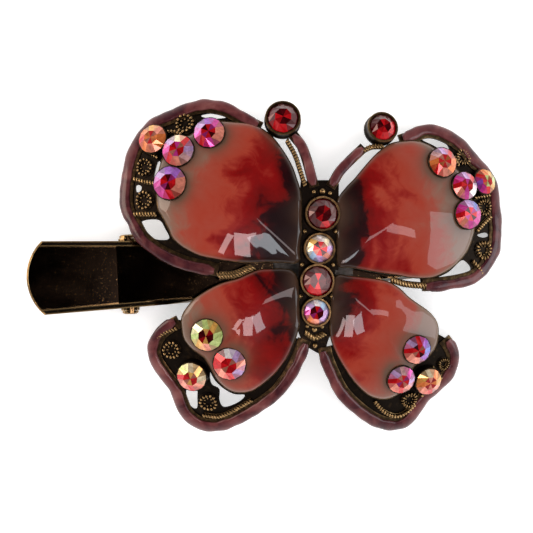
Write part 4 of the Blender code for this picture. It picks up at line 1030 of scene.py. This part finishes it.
def dress_cad_node(node, look, bevel):
    """A carried CAD piece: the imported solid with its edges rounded."""
    obj = frame["nodes"][node]
    obj.data.materials.clear()
    obj.data.materials.append(look)
    if bevel:
        rounding = obj.modifiers.new("edges", "BEVEL")
        rounding.width = bevel * MM
        rounding.segments = 2
        rounding.limit_method = "ANGLE"
        rounding.angle_limit = math.radians(25)


def spring_line():
    """Centre line in the clip's frame: lower arm, coil about the pin, upper arm."""
    points = [(ARM_REACH, -COIL_HALF, LOWER_ARM_END)]
    count = round(36 * COIL_TURNS)
    coil = []
    for k in range(count + 1):
        angle = -math.pi / 2 + 2 * math.pi * COIL_TURNS * k / count
        y = -COIL_HALF + 2 * COIL_HALF * k / count
        coil.append((COIL_RADIUS * math.cos(angle), y, COIL_RADIUS * math.sin(angle)))
    return points + coil + [(ARM_REACH, COIL_HALF, UPPER_ARM_END)]


def build_plate_edge():
    """The polished edge round the upper lever's grip end."""
    radius = (GRIP_HALF ** 2 + GRIP_END_DEPTH ** 2) / (2 * GRIP_END_DEPTH)
    limit = math.asin(GRIP_HALF / radius)
    turns = np.arange(10) * math.pi / 5
    rings = []
    for angle in np.linspace(math.pi - limit, math.pi + limit, 41):
        out = np.array([math.cos(angle), math.sin(angle), 0.0])
        x = -GRIP_LENGTH + radius + (radius - EDGE_HALF) * out[0]
        rise = PLATE_TOP + (PAD_START - x) * math.tan(PAD_BEND) - EDGE_HALF * 0.6
        centre = np.array([x, (radius - EDGE_HALF) * out[1], rise])
        rings.append(centre + EDGE_HALF * (np.cos(turns)[:, None] * out + np.sin(turns)[:, None] * [0, 0, 1]))
    edge = clip_piece("lever_edge", rings, METAL, "black_brass", 180.0, wear=1.1)
    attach(edge, "upper_body")


def build_spring():
    """The wire as a round tube; between the two arms it coils about the hinge pin."""
    centre = np.array(spring_line())
    run = np.gradient(centre, axis=0)
    run /= np.linalg.norm(run, axis=1)[:, None]
    side = np.array([0.0, 1.0, 0.0]) - run * run[:, 1:2]
    side /= np.linalg.norm(side, axis=1)[:, None]
    lift = np.cross(run, side)
    angles = np.arange(12) * math.pi / 6
    rings = []
    for point, a, b in zip(centre, side, lift):
        rings.append(point + WIRE_RADIUS * (np.cos(angles)[:, None] * a + np.sin(angles)[:, None] * b))
    spring = clip_piece("coil_spring", rings, WIRE, "spring_steel", 60.0)
    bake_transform(spring)
    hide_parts("torsion_spring")


# ---- studio ----

def build_floor():
    """The pale floor that the clip lies on."""
    corners = [(-1, -1), (1, -1), (1, 1), (-1, 1)]
    mesh = bpy.data.meshes.new("floor")
    mesh.from_pydata([(x * FLOOR_HALF, y * FLOOR_HALF, -FLOOR_DROP) for x, y in corners], [], [(0, 1, 2, 3)])
    look = Look("floor", Roughness=0.9, Specular_IOR_Level=0.1, Emission_Color=(1.0, 1.0, 1.0, 1.0))
    look.shader.inputs["Emission Strength"].default_value = FLOOR_GLOW
    look.feed("Base Color", look.grey(look.noise(40, 2.0), (0.3, 0.88), (0.7, 0.90)))
    mesh.materials.append(look.material)
    floor = bpy.data.objects.new("floor", mesh)
    link(floor)


def add_light(name, place, size, power, colour):
    """A rectangular light that faces the origin."""
    data = bpy.data.lights.new(name, "AREA")
    data.shape = "RECTANGLE"
    data.size, data.size_y = size
    data.energy = power
    data.color = colour
    lamp = bpy.data.objects.new(name, data)
    lamp.location = place
    lamp.rotation_euler = Vector(place).to_track_quat("Z", "Y").to_euler()
    link(lamp)
    return lamp


def build_light():
    """A bright horizon under a dark sky, two windows, panes that show in the gloss, a soft ceiling."""
    world = bpy.data.worlds.new("studio")
    bpy.context.scene.world = world
    world.use_nodes = True
    nodes, links = world.node_tree.nodes, world.node_tree.links
    place = nodes.new("ShaderNodeTexCoord")
    split = nodes.new("ShaderNodeSeparateXYZ")
    ramp = nodes.new("ShaderNodeValToRGB")
    ramp.color_ramp.elements[0].position = 0.12
    ramp.color_ramp.elements[0].color = (1.0, 0.99, 0.98, 1.0)
    ramp.color_ramp.elements[1].position = 0.72
    ramp.color_ramp.elements[1].color = (0.02, 0.02, 0.02, 1.0)
    links.new(place.outputs["Generated"], split.inputs[0])
    links.new(split.outputs["Z"], ramp.inputs["Fac"])
    links.new(ramp.outputs["Color"], nodes["Background"].inputs["Color"])
    nodes["Background"].inputs["Strength"].default_value = 1.0
    add_light("left_window", (-0.60, 0.16, 0.30), (0.30, 0.40), 1.5, (1.0, 0.84, 0.70))
    add_light("right_window", (0.60, -0.10, 0.30), (0.36, 0.44), 1.1, (0.88, 0.94, 1.0))
    add_light("front_pane", (-0.11, -0.21, 0.66), (0.035, 0.16), 0.13, (1.0, 0.78, 0.76))
    add_light("front_pane_wide", (-0.02, -0.21, 0.66), (0.09, 0.16), 0.34, (1.0, 0.82, 0.82))
    add_light("front_pane_cool", (0.08, -0.20, 0.66), (0.09, 0.13), 0.22, (0.88, 0.94, 1.0))
    add_light("side_pane", (0.25, -0.04, 0.64), (0.06, 0.34), 0.22, (1.0, 0.86, 0.86))
    ceiling = add_light("soft_ceiling", (0.0, 0.02, 1.0), (1.6, 1.6), 10.5, (1.0, 0.99, 0.98))
    ceiling.visible_glossy = False


def build_camera():
    """Straight above, turned so that the butterfly stands upright in the picture."""
    data = bpy.data.cameras.new("camera")
    data.lens = 100.0
    data.sensor_width = 36.0
    data.clip_start = 0.01
    camera = bpy.data.objects.new("camera", data)
    camera.location = (PLAN_SHIFT[0] * MM, PLAN_SHIFT[1] * MM, CAMERA_HEIGHT)
    camera.rotation_euler = (0.0, 0.0, -CLIP_YAW)
    link(camera)
    bpy.context.scene.camera = camera


# ---- the model ----

build_casting()
build_settings()
for wing in CELLS:
    build_wing_enamel(wing)
    build_strip_enamel("rim_line_" + wing, RIMS[wing]["path"], *RIM_ENAMEL, "enamel_rim_" + wing, 2,
                       -RIM_ENAMEL_SHIFT * RIMS[wing]["outwards"])
for side, path in ANTENNAE.items():
    build_strip_enamel("antenna_line_" + side, path, *ANTENNA_ENAMEL, "enamel_antenna_" + side, 1)
for stone, (plan_x, plan_y), stone_radius, cup_height in CRYSTALS:
    build_stone(stone, plan_x, plan_y, stone_radius, cup_height)
build_spring()
build_plate_edge()
dress_cad_node("upper_lever", PLATE, 0.20)
dress_cad_node("lower_lever", PLATE, 0.08)
dress_cad_node("pivot_pin", PLATE, 0.08)
dress_cad_node("solder_layer", SOLDER, 0.0)
build_floor()
build_light()
build_camera()
bpy.context.scene.view_settings.view_transform = "Standard"
